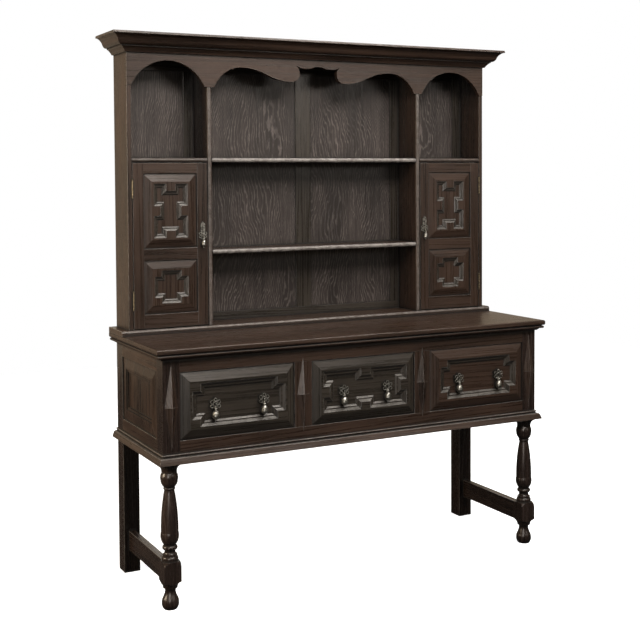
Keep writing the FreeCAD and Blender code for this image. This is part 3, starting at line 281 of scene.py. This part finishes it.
def recess(tree, reach):
    """How open a place is, from 0 deep in a corner to 1 on a flat."""
    return new_node(tree, "ShaderNodeAmbientOcclusion", samples=RECESS_SAMPLES, Distance=reach).outputs["AO"]


def relief(tree, shader, height, strength):
    """Bumps on a shader."""
    bump = new_node(tree, "ShaderNodeBump", **strength)
    link(tree, height, bump.inputs["Height"])
    link(tree, bump.outputs[0], shader.inputs["Normal"])


def oak_material(name, dark, light, line, wear_and_highlight_colour, line_share, flame, spacing, rough):
    """Stained and waxed oak: its ground from dark to light, its growth lines, its abraded places lightened
    partly with painted highlights, and painted shade with old wax in its grooves and corners.
    """
    material, tree, shader = principled(name)
    grain = new_node(tree, "ShaderNodeGroup", node_tree=OAK_GRAIN)
    place = attribute(tree, "grain", "Vector")
    link(tree, place, grain.inputs["Grain"])
    grain.inputs["Line spacing"].default_value = spacing
    grain.inputs["Flame"].default_value = flame
    streaks, pores = grain.outputs["Streaks"], grain.outputs["Pores"]

    shade = maths(tree, "MULTIPLY", streaks, STREAK_SHADE)
    shade = maths(tree, "MULTIPLY_ADD", grain.outputs["Clouds"], CLOUD_SHADE, shade)
    shade = maths(tree, "MULTIPLY_ADD", attribute(tree, "tone"), TONE_SHADE, shade, clamp=True)
    colour = mix_colour(tree, shade, dark, light)
    strength = maths(tree, "MULTIPLY_ADD", shade, LINE_ON_LIGHT, LINE_ON_DARK)
    lines = maths(tree, "MULTIPLY", grain.outputs["Lines"], strength)
    colour = mix_colour(tree, maths(tree, "MULTIPLY", lines, line_share), colour, line)
    colour = mix_colour(tree, maths(tree, "MULTIPLY", pores, PORE_SHADE), colour, dark)

    # Painted highlights with abrasion: the marked edges and faces lighten towards the wear colour, in
    # patches.
    patchy = remap(tree, noise(tree, place, *PATCHES), PATCH_SPAN, PATCH_LEAST)
    rubbed_and_highlit = maths(tree, "MULTIPLY", attribute(tree, "wear_and_highlight"), patchy)
    colour = mix_colour(tree, rubbed_and_highlit, colour, wear_and_highlight_colour)
    # Painted shade with old wax: narrow grooves, wide corners and the marked faces darken towards the wax
    # colour.
    open_groove = remap(tree, recess(tree, NARROW_REACH), NARROW_SPAN, smooth=False)
    not_dirty_or_shaded = maths(tree, "SUBTRACT", 1.0, attribute(tree, "dirt_and_painted_shade"))
    clean = maths(tree, "MULTIPLY", open_groove, not_dirty_or_shaded)
    colour = mix_colour(tree, clean, WAX_AND_SHADE, colour)
    wide = remap(tree, recess(tree, WIDE_REACH), WIDE_SPAN, WIDE_SHADE, smooth=False)
    colour = mix_colour(tree, wide, WAX_AND_SHADE, colour)
    link(tree, colour, shader.inputs["Base Color"])

    gloss = maths(tree, "MULTIPLY_ADD", streaks, STREAK_ROUGH, rough)
    gloss = maths(tree, "MULTIPLY_ADD", pores, PORE_ROUGH, gloss)
    waxed = maths(tree, "SUBTRACT", 1.0, clean)
    gloss = maths(tree, "MULTIPLY_ADD", waxed, WAX_ROUGH, gloss, clamp=True)
    link(tree, gloss, shader.inputs["Roughness"])
    height = maths(tree, "MULTIPLY_ADD", streaks, STREAK_HEIGHT, grain.outputs["Lines"])
    height = maths(tree, "SUBTRACT", height, maths(tree, "MULTIPLY", pores, PORE_DEPTH))
    relief(tree, shader, height, OAK_RELIEF)
    shader.inputs["Specular IOR Level"].default_value = POLISH
    shader.inputs["Specular Tint"].default_value = (*POLISH_TINT, 1.0)
    return material


def metal_material(name, colour, dark, rough):
    """Old cast metal, dark in patches where it has tarnished."""
    material, tree, shader = principled(name)
    place = tree.nodes.new("ShaderNodeTexCoord").outputs["Object"]
    patches = noise(tree, place, *TARNISH)
    shade = mix_colour(tree, remap(tree, patches, TARNISH_SPAN), colour, dark)
    shade = mix_colour(tree, remap(tree, recess(tree, METAL_REACH), METAL_SPAN), GRIME, shade)
    link(tree, shade, shader.inputs["Base Color"])
    link(tree, remap(tree, patches, DULL_SPAN, rough, rough + DULLNESS), shader.inputs["Roughness"])
    relief(tree, shader, noise(tree, place, *PITS), METAL_RELIEF)
    shader.inputs["Metallic"].default_value = 1.0
    return material


FRONT_OAK = oak_material(
    "front_oak", dark=(0.0075, 0.004, 0.0026), light=(0.047, 0.0255, 0.0165), line=(0.075, 0.05, 0.035),
    wear_and_highlight_colour=(0.25, 0.222, 0.197), line_share=0.3, flame=0.35, spacing=0.009, rough=0.25,
)
FIGURED_OAK = oak_material(
    "figured_oak", dark=(0.008, 0.006, 0.0052), light=(0.05, 0.037, 0.031), line=(0.15, 0.12, 0.105),
    wear_and_highlight_colour=(0.1, 0.08, 0.07), line_share=0.9, flame=0.85, spacing=0.0085, rough=0.34,
)
DRAWER_OAK = oak_material(
    "drawer_oak", dark=(0.0072, 0.0057, 0.0043), light=(0.037, 0.0285, 0.0208), line=(0.06, 0.049, 0.038),
    wear_and_highlight_colour=(0.17, 0.15, 0.13), line_share=0.3, flame=0.3, spacing=0.01, rough=0.24,
)
# The mouldings' oak: drawer oak with a brighter wear colour that paints highlights on the mouldings' upward
# slopes, and a glossier polish.
MOULDING_OAK_HIGHLIT = oak_material(
    "moulding_oak_highlit", dark=(0.0072, 0.0057, 0.0043), light=(0.037, 0.0285, 0.0208), line=(0.06, 0.049, 0.038),
    wear_and_highlight_colour=(0.4, 0.37, 0.33), line_share=0.3, flame=0.3, spacing=0.01, rough=0.21,
)
LEG_OAK = oak_material(
    "leg_oak", dark=(0.0062, 0.0036, 0.0028), light=(0.034, 0.0205, 0.0155), line=(0.055, 0.038, 0.029),
    wear_and_highlight_colour=(0.22, 0.2, 0.18), line_share=0.3, flame=0.35, spacing=0.009, rough=0.19,
)
PLAIN_OAK = oak_material(
    "plain_oak", dark=(0.09, 0.055, 0.03), light=(0.24, 0.16, 0.09), line=(0.3, 0.21, 0.13),
    wear_and_highlight_colour=(0.3, 0.22, 0.14), line_share=0.5, flame=0.5, spacing=0.009, rough=0.6,
)
BRASS = metal_material("aged_brass", colour=(0.31, 0.29, 0.25), dark=(0.07, 0.063, 0.051), rough=0.27)
# The pull plates' brass is nearly black: tarnish, and painted shade for the dark hollows between and behind
# the cast rings.
PLATE_BRASS = metal_material(
    "tarnished_and_shaded_brass", colour=(0.05, 0.045, 0.037), dark=(0.012, 0.011, 0.009), rough=0.45,
)
HINGE_BRASS = metal_material("hinge_brass", colour=(0.16, 0.125, 0.08), dark=(0.05, 0.04, 0.028), rough=0.45)
IRON = metal_material("dark_iron", colour=(0.12, 0.115, 0.11), dark=(0.04, 0.037, 0.034), rough=0.45)

OAKS = {
    "dark_oak": FRONT_OAK, "figured_oak": FIGURED_OAK, "drawer_oak": DRAWER_OAK, "plain_oak": PLAIN_OAK,
}
METALS = {"aged_brass": BRASS, "dark_iron": IRON}

# Pieces whose stain or tarnish differs from that of the pieces round them; the mouldings' oak also carries
# brighter painted highlights, and the pull plates' brass painted shade.
STAINED = {
    "drawer_moulding": MOULDING_OAK_HIGHLIT, "door_mouldings": MOULDING_OAK_HIGHLIT, "back_frame": DRAWER_OAK,
    "drawer_front_right": FRONT_OAK, "front_leg": LEG_OAK, "back_posts": LEG_OAK,
    "side_stretchers": LEG_OAK, "jamb_hinge_leaves": HINGE_BRASS, "door_hinge_leaves": HINGE_BRASS,
    "pull_plates": PLATE_BRASS,
}


# Pieces from the model's own solids

# How sharp the tools left the edges, in metres, and the steps round an arris.
ARRIS = 0.0012
ARRISES = {"drawer_moulding": 0.0003, "door_mouldings": 0.0003}
ARRIS_STEPS = 2

# The angles above which an edge is sharp: on curved boards, on flat ones, and on metal.
CURVE_ANGLE = math.radians(32)
FACET_ANGLE = math.radians(7)
METAL_ANGLE = math.radians(35)
CURVED = (
    "table_top", "top_moulding", "front_leg", "base_moulding", "rack_sill", "centre_shelves",
    "niche_shelves", "rack_partitions", "frieze_board", "cornice",
)

# The model's corners that are one, and its faces that are level.
MERGE_DISTANCE = 2e-6
LEVEL_ANGLE = math.radians(0.6)

# Where an edge is tested for a flush neighbour, and how level that must be, in metres.
JOINT_SHARES = (0.15, 0.4, 0.6, 0.85)
JOINT_STEP = 0.0015
JOINT_LEVEL = 0.00015

# The figures of the draw that gives each board its tone and its own piece of grain.
CHANCE_WAVES = (12.9898, 78.233, 37.719)
CHANCE_SEED = 4.131
CHANCE_GAIN = 43758.5453
TONE_SEED = 1
SHIFT_SEEDS = (2, 3, 4)
LEAN_SEED = 5
TONE_SPREAD = 0.7
LONG_BOARD_TONE = 0.3
GRAIN_SHIFT = 7
GRAIN_LEAN = 0.06

# Panels with mitred borders, with the grain of their field, and how level a field is.
FRAMED = {
    "drawer_front": X, "drawer_moulding": X, "door_mouldings": X, "door_panels": Z, "end_panels": Z,
}
FIELD_LEAN = 0.05


# How far a face leans before it is a slope. A face that leans less from a wall is a wall.
LEANS = 0.3


def looks_up(least):
    """Chooses the faces that look up."""
    return lambda normal: normal.z > least


def looks_forward(least, rise=-1.0):
    """Chooses the faces that look forward, and up by more than a rise."""
    return lambda normal: normal.y < -least and normal.z > rise


def stands_beside(axis, most):
    """Chooses the faces that run along an axis, as the walls of a groove do."""
    return lambda normal: abs(normal[axis]) < most


def is_shadowed(normal):
    """True for the undersides of a moulding and for its walls that don't look up."""
    return normal.z < -LEANS or (abs(normal.y) < LEANS and normal.z < LEANS)


# How far a sharp edge is lightened through its stain, partly as wear and partly as a painted highlight, and
# how far the faces that hands and plates rub are lightened; on faces that look up or forward this is a
# painted highlight too.
ARRIS_WEAR_AND_HIGHLIGHT = 0.6
ARRIS_WEARS_AND_HIGHLIGHTS = {
    "table_top": 0.2, "drawer_front": 0.1, "door_panels": 0.0, "door_frame": 0.3, "back_frame": 0.0,
    "end_panels": 0.2,
}
RUBBED_AND_HIGHLIT = {
    "drawer_moulding": (looks_up(LEANS), 0.2),
    "door_mouldings": (looks_up(LEANS), 0.12),
    "centre_shelves": (looks_forward(LEANS), 0.9),
    "niche_shelves": (looks_forward(LEANS), 0.15),
    "rack_partitions": (looks_forward(0.9), 0.35),
    "rack_sill": (looks_forward(LEANS, 0.2), 0.4),
    "base_moulding": (looks_up(0.6), 0.5),
}

# Faces darkened towards the wax colour by wax and dirt, with painted shade on the grooves' walls and
# undersides; the unpolished top is darkened by dirt.
DIRT_AND_SHADE_FACES = {
    "drawer_moulding": (is_shadowed, 0.7),
    "door_mouldings": (is_shadowed, 0.7),
    "drawer_front": (stands_beside(Y, LEANS), 0.85),
    "door_frame": (stands_beside(Y, LEANS), 0.7),
    "front_rails": (stands_beside(Y, LEANS), 0.7),
    "drawer_dividers": (stands_beside(Y, LEANS), 0.7),
    "end_rails": (stands_beside(X, LEANS), 0.7),
    "end_panels": (stands_beside(X, 0.4), 0.8),
    "rack_top": (looks_up(0.9), 0.8),
    "cornice": (looks_up(0.9), 0.8),
}


def value_of(node, values, usual):
    """The value given for a kind of node, or the usual one."""
    found = [value for start, value in values.items() if node.startswith(start)]
    return found[0] if found else usual


def islands(shape):
    """The separate solids of a bmesh, as lists of faces."""
    left = set(shape.faces)
    found = []
    for start in shape.faces:
        if start not in left:
            continue
        left.discard(start)
        todo = [start]
        one = []
        while todo:
            face = todo.pop()
            one.append(face)
            for edge in face.edges:
                for other in edge.link_faces:
                    if other in left:
                        left.discard(other)
                        todo.append(other)
        found.append(one)
    return found


def chance(place, seed):
    """A number from 0 to 1 that depends on a place only."""
    wave_x, wave_y, wave_z = CHANCE_WAVES
    angle = place.x * wave_x + place.y * wave_y + place.z * wave_z + seed * CHANCE_SEED
    wave = math.sin(angle) * CHANCE_GAIN
    return wave - math.floor(wave)


def framed(field_run):
    """The grain of a mitred border or moulding: each run has its own, the flat field the given one."""
    def run(face):
        lean_x, lean_z = abs(face.normal.x), abs(face.normal.z)
        if max(lean_x, lean_z) < FIELD_LEAN:
            return field_run
        return Z if lean_x > lean_z else X
    return run


def mark_grain(shape, run_of):
    """Writes each board's grain vector and tone on its corners. The grain runs along the longest side."""
    grain = shape.loops.layers.float_vector.new("grain")
    tone = shape.loops.layers.float.new("tone")
    for one in islands(shape):
        corners = [vertex.co for face in one for vertex in face.verts]
        low = Vector([min(corner[axis] for corner in corners) for axis in (X, Y, Z)])
        high = Vector([max(corner[axis] for corner in corners) for axis in (X, Y, Z)])
        size = high - low
        middle = (low + high) / 2
        longest = max((X, Y, Z), key=lambda axis: size[axis])
        board_tone = chance(middle, TONE_SEED) * TONE_SPREAD + (LONG_BOARD_TONE if longest == X else 0.0)
        shift = Vector([chance(middle, seed) for seed in SHIFT_SEEDS]) * GRAIN_SHIFT
        lean = (chance(middle, LEAN_SEED) - 0.5) * GRAIN_LEAN
        for face in one:
            run = run_of(face) if run_of else longest
            order = (run, *(axis for axis in (X, Z, Y) if axis != run))
            for loop in face.loops:
                place = loop.vert.co
                value = Vector([place[axis] for axis in order]) + shift
                value.y += value.x * lean
                loop[grain] = value
                loop[tone] = board_tone


def finish_piece(name, shape, body, material, replaced=(), smooth=CURVE_ANGLE):
    """Turns a bmesh into a piece that rides on a body."""
    mesh = bpy.data.meshes.new(name)
    shape.to_mesh(mesh)
    shape.free()
    mesh.materials.clear()
    mesh.materials.append(material)
    mesh.shade_smooth()
    mesh.set_sharp_from_angle(angle=smooth)
    piece = bpy.data.objects.new(name, mesh)
    bpy.context.scene.collection.objects.link(piece)
    weighted = piece.modifiers.new("weighted", "WEIGHTED_NORMAL")
    weighted.keep_sharp = True
    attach(piece, body)
    if replaced:
        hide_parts(*replaced)


def merged_copy(node):
    """A model node as a clean bmesh: each solid closed on its own, its flat faces joined."""
    shape = bmesh.new()
    shape.from_mesh(frame["nodes"][node].data)
    same = bmesh.ops.find_doubles(shape, verts=shape.verts, dist=MERGE_DISTANCE)["targetmap"]
    unpaired = set()
    solid = {}
    solids = []
    for face in shape.faces:
        solid.update(dict.fromkeys(face.verts))
        for loop in face.loops:
            start, end = loop.vert, loop.link_loop_next.vert
            start, end = same.get(start, start), same.get(end, end)
            if (end, start) in unpaired:
                unpaired.discard((end, start))
            else:
                unpaired.add((start, end))
        if not unpaired:
            solids.append(list(solid))
            solid = {}
    if solid:
        solids.append(list(solid))
    for corners in solids:
        bmesh.ops.remove_doubles(shape, verts=corners, dist=MERGE_DISTANCE)
    bmesh.ops.dissolve_limit(
        shape, angle_limit=LEVEL_ANGLE, use_dissolve_boundaries=False, verts=shape.verts, edges=shape.edges,
    )
    return shape


def all_boards():
    """Every surface of the model, to find what lies beside an edge."""
    corners = []
    faces = []
    for node in frame["nodes"].values():
        start = len(corners)
        corners.extend(vertex.co.copy() for vertex in node.data.vertices)
        faces.extend([start + index for index in face.vertices] for face in node.data.polygons)
    return BVHTree.FromPolygons(corners, faces)


BOARDS = all_boards()


def is_joint(edge):
    """True where the next board lies flush beside an edge, so that the joint stays sharp."""
    first, last = (vertex.co for vertex in edge.verts)
    flush = 0
    for share in JOINT_SHARES:
        spot = first.lerp(last, share)
        for face in edge.link_faces:
            out = (last - first).cross(face.normal).normalized()
            if out.dot(face.calc_center_median() - spot) > 0:
                out.negate()
            start = spot + out * JOINT_STEP + face.normal * JOINT_STEP
            _, _, _, reach = BOARDS.ray_cast(start, -face.normal, JOINT_STEP * 2)
            if reach is not None and abs(reach - JOINT_STEP) < JOINT_LEVEL:
                flush += 1
                break
    return flush > len(JOINT_SHARES) / 2


def mark_faces(shape, name, chosen=None, amount=0.0):
    """Writes an attribute: an amount on the faces that a test of their normal chooses, else 0."""
    layer = shape.loops.layers.float.new(name)
    if chosen:
        for face in shape.faces:
            if chosen(face.normal):
                for loop in face.loops:
                    loop[layer] = amount


def soften(shape, width, sharp, wear_and_highlight_share):
    """Rounds the outer arrises, and marks them as abraded and lightened with a painted highlight."""
    wear_and_highlight = shape.loops.layers.float["wear_and_highlight"]
    hard = [
        edge for edge in shape.edges
        if edge.is_manifold and edge.is_convex and edge.calc_face_angle() > sharp and not is_joint(edge)
    ]
    if hard:
        made = bmesh.ops.bevel(
            shape, geom=hard, offset=width, offset_type="OFFSET", segments=ARRIS_STEPS, profile=0.5,
            affect="EDGES", clamp_overlap=True, material=-1,
        )
        for face in made["faces"]:
            for loop in face.loops:
                loop[wear_and_highlight] = max(wear_and_highlight_share, loop[wear_and_highlight])


def oak_piece(node, material):
    """A wooden node with softened arrises and its grain."""
    shape = merged_copy(node)
    sharp = CURVE_ANGLE if node.startswith(CURVED) else FACET_ANGLE
    mark_faces(shape, "dirt_and_painted_shade", *value_of(node, DIRT_AND_SHADE_FACES, ()))
    mark_faces(shape, "wear_and_highlight", *value_of(node, RUBBED_AND_HIGHLIT, ()))
    soften(shape, value_of(node, ARRISES, ARRIS), sharp, value_of(node, ARRIS_WEARS_AND_HIGHLIGHTS, ARRIS_WEAR_AND_HIGHLIGHT))
    field_run = value_of(node, FRAMED, None)
    mark_grain(shape, None if field_run is None else framed(field_run))
    body = frame["nodes"][node]["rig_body"]
    finish_piece("oak_" + node, shape, body, material, [node], smooth=sharp)


def metal_piece(node, material):
    """A metal node, merged and smoothed."""
    body = frame["nodes"][node]["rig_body"]
    finish_piece("metal_" + node, merged_copy(node), body, material, [node], smooth=METAL_ANGLE)


for record_entry in frame["record"]["subparts"]:
    node_name = record_entry["node"]
    slot_name = record_entry["material_slot"]
    if slot_name in METALS:
        metal_piece(node_name, value_of(node_name, STAINED, METALS[slot_name]))
    else:
        oak_piece(node_name, value_of(node_name, STAINED, OAKS[slot_name]))


# Cast rings on the rosettes behind the drawers' drops

PETALS = 6
PETAL_PLACE = 0.014
PETAL_RADIUS = 0.0052
PETAL_WIRE = 0.0013
COLLAR_RADIUS = 0.0072
COLLAR_WIRE = 0.0012
PLATE_THICK = 0.0022
RING_SIDES = 10
RING_STEPS = 28


def cast_ring(shape, centre, radius, wire):
    """A ring of round wire that lies flat against the front."""
    before = set(shape.verts)
    section = bmesh.ops.create_circle(
        shape, segments=RING_SIDES, radius=wire, matrix=Matrix.Translation((radius, 0, 0)),
    )["verts"]
    rims = list(dict.fromkeys(edge for corner in section for edge in corner.link_edges))
    bmesh.ops.spin(
        shape, geom=section + rims, cent=(0, 0, 0), axis=(0, 1, 0), angle=math.tau, steps=RING_STEPS,
        use_merge=True, use_duplicate=False,
    )
    made = [corner for corner in shape.verts if corner not in before]
    bmesh.ops.translate(shape, verts=made, vec=centre)


def rosette_rings(side, hand):
    """The petals and the collar of one drawer pull."""
    drop_low, drop_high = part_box(f"pull_{side}_{hand}_drop")
    plate_low, plate_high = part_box(f"pull_plates_{side}")
    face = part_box(f"drawer_front_{side}")[0].y
    middle = Vector(((drop_low.x + drop_high.x) / 2, face - PLATE_THICK, (plate_low.z + plate_high.z) / 2))
    shape = bmesh.new()
    for petal in range(PETALS):
        turn = math.pi / 2 + petal * math.tau / PETALS
        reach = Vector((math.cos(turn), 0, math.sin(turn))) * PETAL_PLACE
        cast_ring(shape, middle + reach, PETAL_RADIUS, PETAL_WIRE)
    cast_ring(shape, middle, COLLAR_RADIUS, COLLAR_WIRE)
    bmesh.ops.recalc_face_normals(shape, faces=shape.faces)
    finish_piece(f"rosette_{side}_{hand}", shape, f"drawer_{side}", BRASS)


for drawer_side in ("left", "middle", "right"):
    for drop_hand in ("left", "right"):
        rosette_rings(drawer_side, drop_hand)


# Floor, light and camera

FLOOR_REACH = 4.5
FLOOR_GLOW = 0.86
FLOOR_MIRRORED = 0.02
FLOOR_ROUGH = 0.9
FLOOR_PALE = (0.8, 0.8, 0.8)
FLOOR_BOUNCE = (0.04, 0.04, 0.04)
WHITE = (1.0, 1.0, 1.0)

# The world's even light, and what old wax mirrors of it: little in front, more behind the dresser.
WORLD_LEVEL = 0.11
MIRRORED_FRONT = 0.05
MIRRORED_BEHIND = 0.38
BEHIND_SPAN = (0.2, 0.7)
MIRRORED_TINT = (1.0, 0.82, 0.6)


def background_rays(tree, mirrored_share):
    """The share of the white background that a ray shows: all straight on, less in wax and metal."""
    path = tree.nodes.new("ShaderNodeLightPath")
    mirrored = maths(tree, "MULTIPLY", path.outputs["Is Glossy Ray"], mirrored_share)
    straight = maths(tree, "MAXIMUM", path.outputs["Is Camera Ray"], path.outputs["Is Transmission Ray"])
    return maths(tree, "MAXIMUM", straight, mirrored)


def make_floor():
    """A plain pale floor that shows white to the camera and keeps the dresser's shadow."""
    shape = bmesh.new()
    bmesh.ops.create_grid(shape, x_segments=1, y_segments=1, size=FLOOR_REACH)
    mesh = bpy.data.meshes.new("floor")
    shape.to_mesh(mesh)
    shape.free()
    floor = bpy.data.objects.new("floor", mesh)
    bpy.context.scene.collection.objects.link(floor)
    material, tree, shader = principled("pale_floor")
    path = tree.nodes.new("ShaderNodeLightPath")
    pale = mix_colour(tree, path.outputs["Is Camera Ray"], FLOOR_BOUNCE, FLOOR_PALE)
    link(tree, pale, shader.inputs["Base Color"])
    shader.inputs["Roughness"].default_value = FLOOR_ROUGH
    shader.inputs["Specular IOR Level"].default_value = 0.0
    glow = new_node(tree, "ShaderNodeEmission", Color=(*WHITE, 1.0))
    strength = maths(tree, "MULTIPLY", background_rays(tree, FLOOR_MIRRORED), FLOOR_GLOW)
    link(tree, strength, glow.inputs["Strength"])
    both = tree.nodes.new("ShaderNodeAddShader")
    link(tree, shader.outputs[0], both.inputs[0])
    link(tree, glow.outputs[0], both.inputs[1])
    link(tree, both.outputs[0], tree.nodes["Material Output"].inputs["Surface"])
    mesh.materials.append(material)


def make_world():
    """White for the camera, even grey for lighting, and a bright room behind the dresser for its gloss."""
    world = bpy.data.worlds.new("studio")
    bpy.context.scene.world = world
    world.use_nodes = True
    tree = world.node_tree
    background = tree.nodes["Background"]
    towards = tree.nodes.new("ShaderNodeSeparateXYZ")
    link(tree, tree.nodes.new("ShaderNodeTexCoord").outputs["Generated"], towards.inputs[0])
    behind = remap(tree, towards.outputs["Y"], BEHIND_SPAN, MIRRORED_FRONT, MIRRORED_BEHIND)
    rays = background_rays(tree, behind)
    strength = maths(tree, "MULTIPLY_ADD", rays, 1.0 - WORLD_LEVEL, WORLD_LEVEL)
    mirrored = tree.nodes.new("ShaderNodeLightPath").outputs["Is Glossy Ray"]
    link(tree, mix_colour(tree, mirrored, WHITE, MIRRORED_TINT), background.inputs["Color"])
    link(tree, strength, background.inputs["Strength"])


def area_light(name, place, target, size, power, colour=WHITE, gloss_only=False):
    """A soft lamp that faces a point. A pale screen that only the polish mirrors lights nothing."""
    data = bpy.data.lights.new(name, "AREA")
    data.shape = "RECTANGLE"
    data.size, data.size_y = size
    data.energy = power
    data.color = colour
    lamp = bpy.data.objects.new(name, data)
    bpy.context.scene.collection.objects.link(lamp)
    lamp.visible_diffuse = not gloss_only
    lamp.location = place
    lamp.rotation_euler = (Vector(target) - Vector(place)).to_track_quat("-Z", "Y").to_euler()


def make_lamps():
    """Soft daylight from above and in front, with two screens that the polish mirrors."""
    area_light(
        "window_left", place=(-3.35, -4.7, 2.3), target=(-0.5, 0, 1.0), size=(1.55, 4.0), power=200,
        gloss_only=True,
    )
    area_light("upper_front", place=(-0.4, -2.8, 3.4), target=(0, 0, 1.3), size=(1.6, 1.0), power=132)
    area_light("overhead", place=(0.6, -1.6, 4.2), target=(0.1, 0, 0.8), size=(2.4, 1.6), power=65)
    area_light("over_shoulder", place=(1.8, -2.0, 4.1), target=(0, 0, 0.8), size=(1.1, 0.9), power=60)
    area_light(
        "far_right", place=(2.6, -5.2, 2.3), target=(0, 0, 1.8), size=(2.4, 0.7), power=36,
        gloss_only=True,
    )
    area_light(
        "side_left", place=(-3.8, 0.3, 1.5), target=(-0.7, 0, 0.7), size=(1.4, 1.4), power=145,
        colour=(1.0, 0.88, 0.7),
    )
    area_light("back", place=(1.6, 3.8, 3.0), target=(0, 0, 0.9), size=(2.0, 2.0), power=50)


def make_camera():
    """The photograph's camera."""
    data = bpy.data.cameras.new("camera")
    data.sensor_width = CAMERA_SENSOR
    data.lens = CAMERA_LENS
    data.shift_y = CAMERA_SHIFT
    data.dof.use_dof = False
    camera = bpy.data.objects.new("camera", data)
    bpy.context.scene.collection.objects.link(camera)
    camera.location = CAMERA_PLACE
    turn = Matrix.Rotation(-CAMERA_YAW, 3, "Z") @ Matrix.Rotation(math.pi / 2 - CAMERA_PITCH, 3, "X")
    camera.rotation_euler = (turn @ Matrix.Rotation(CAMERA_ROLL, 3, "Z")).to_euler()
    bpy.context.scene.camera = camera


make_floor()
make_world()
make_lamps()
make_camera()
bpy.context.scene.view_settings.view_transform = "Standard"
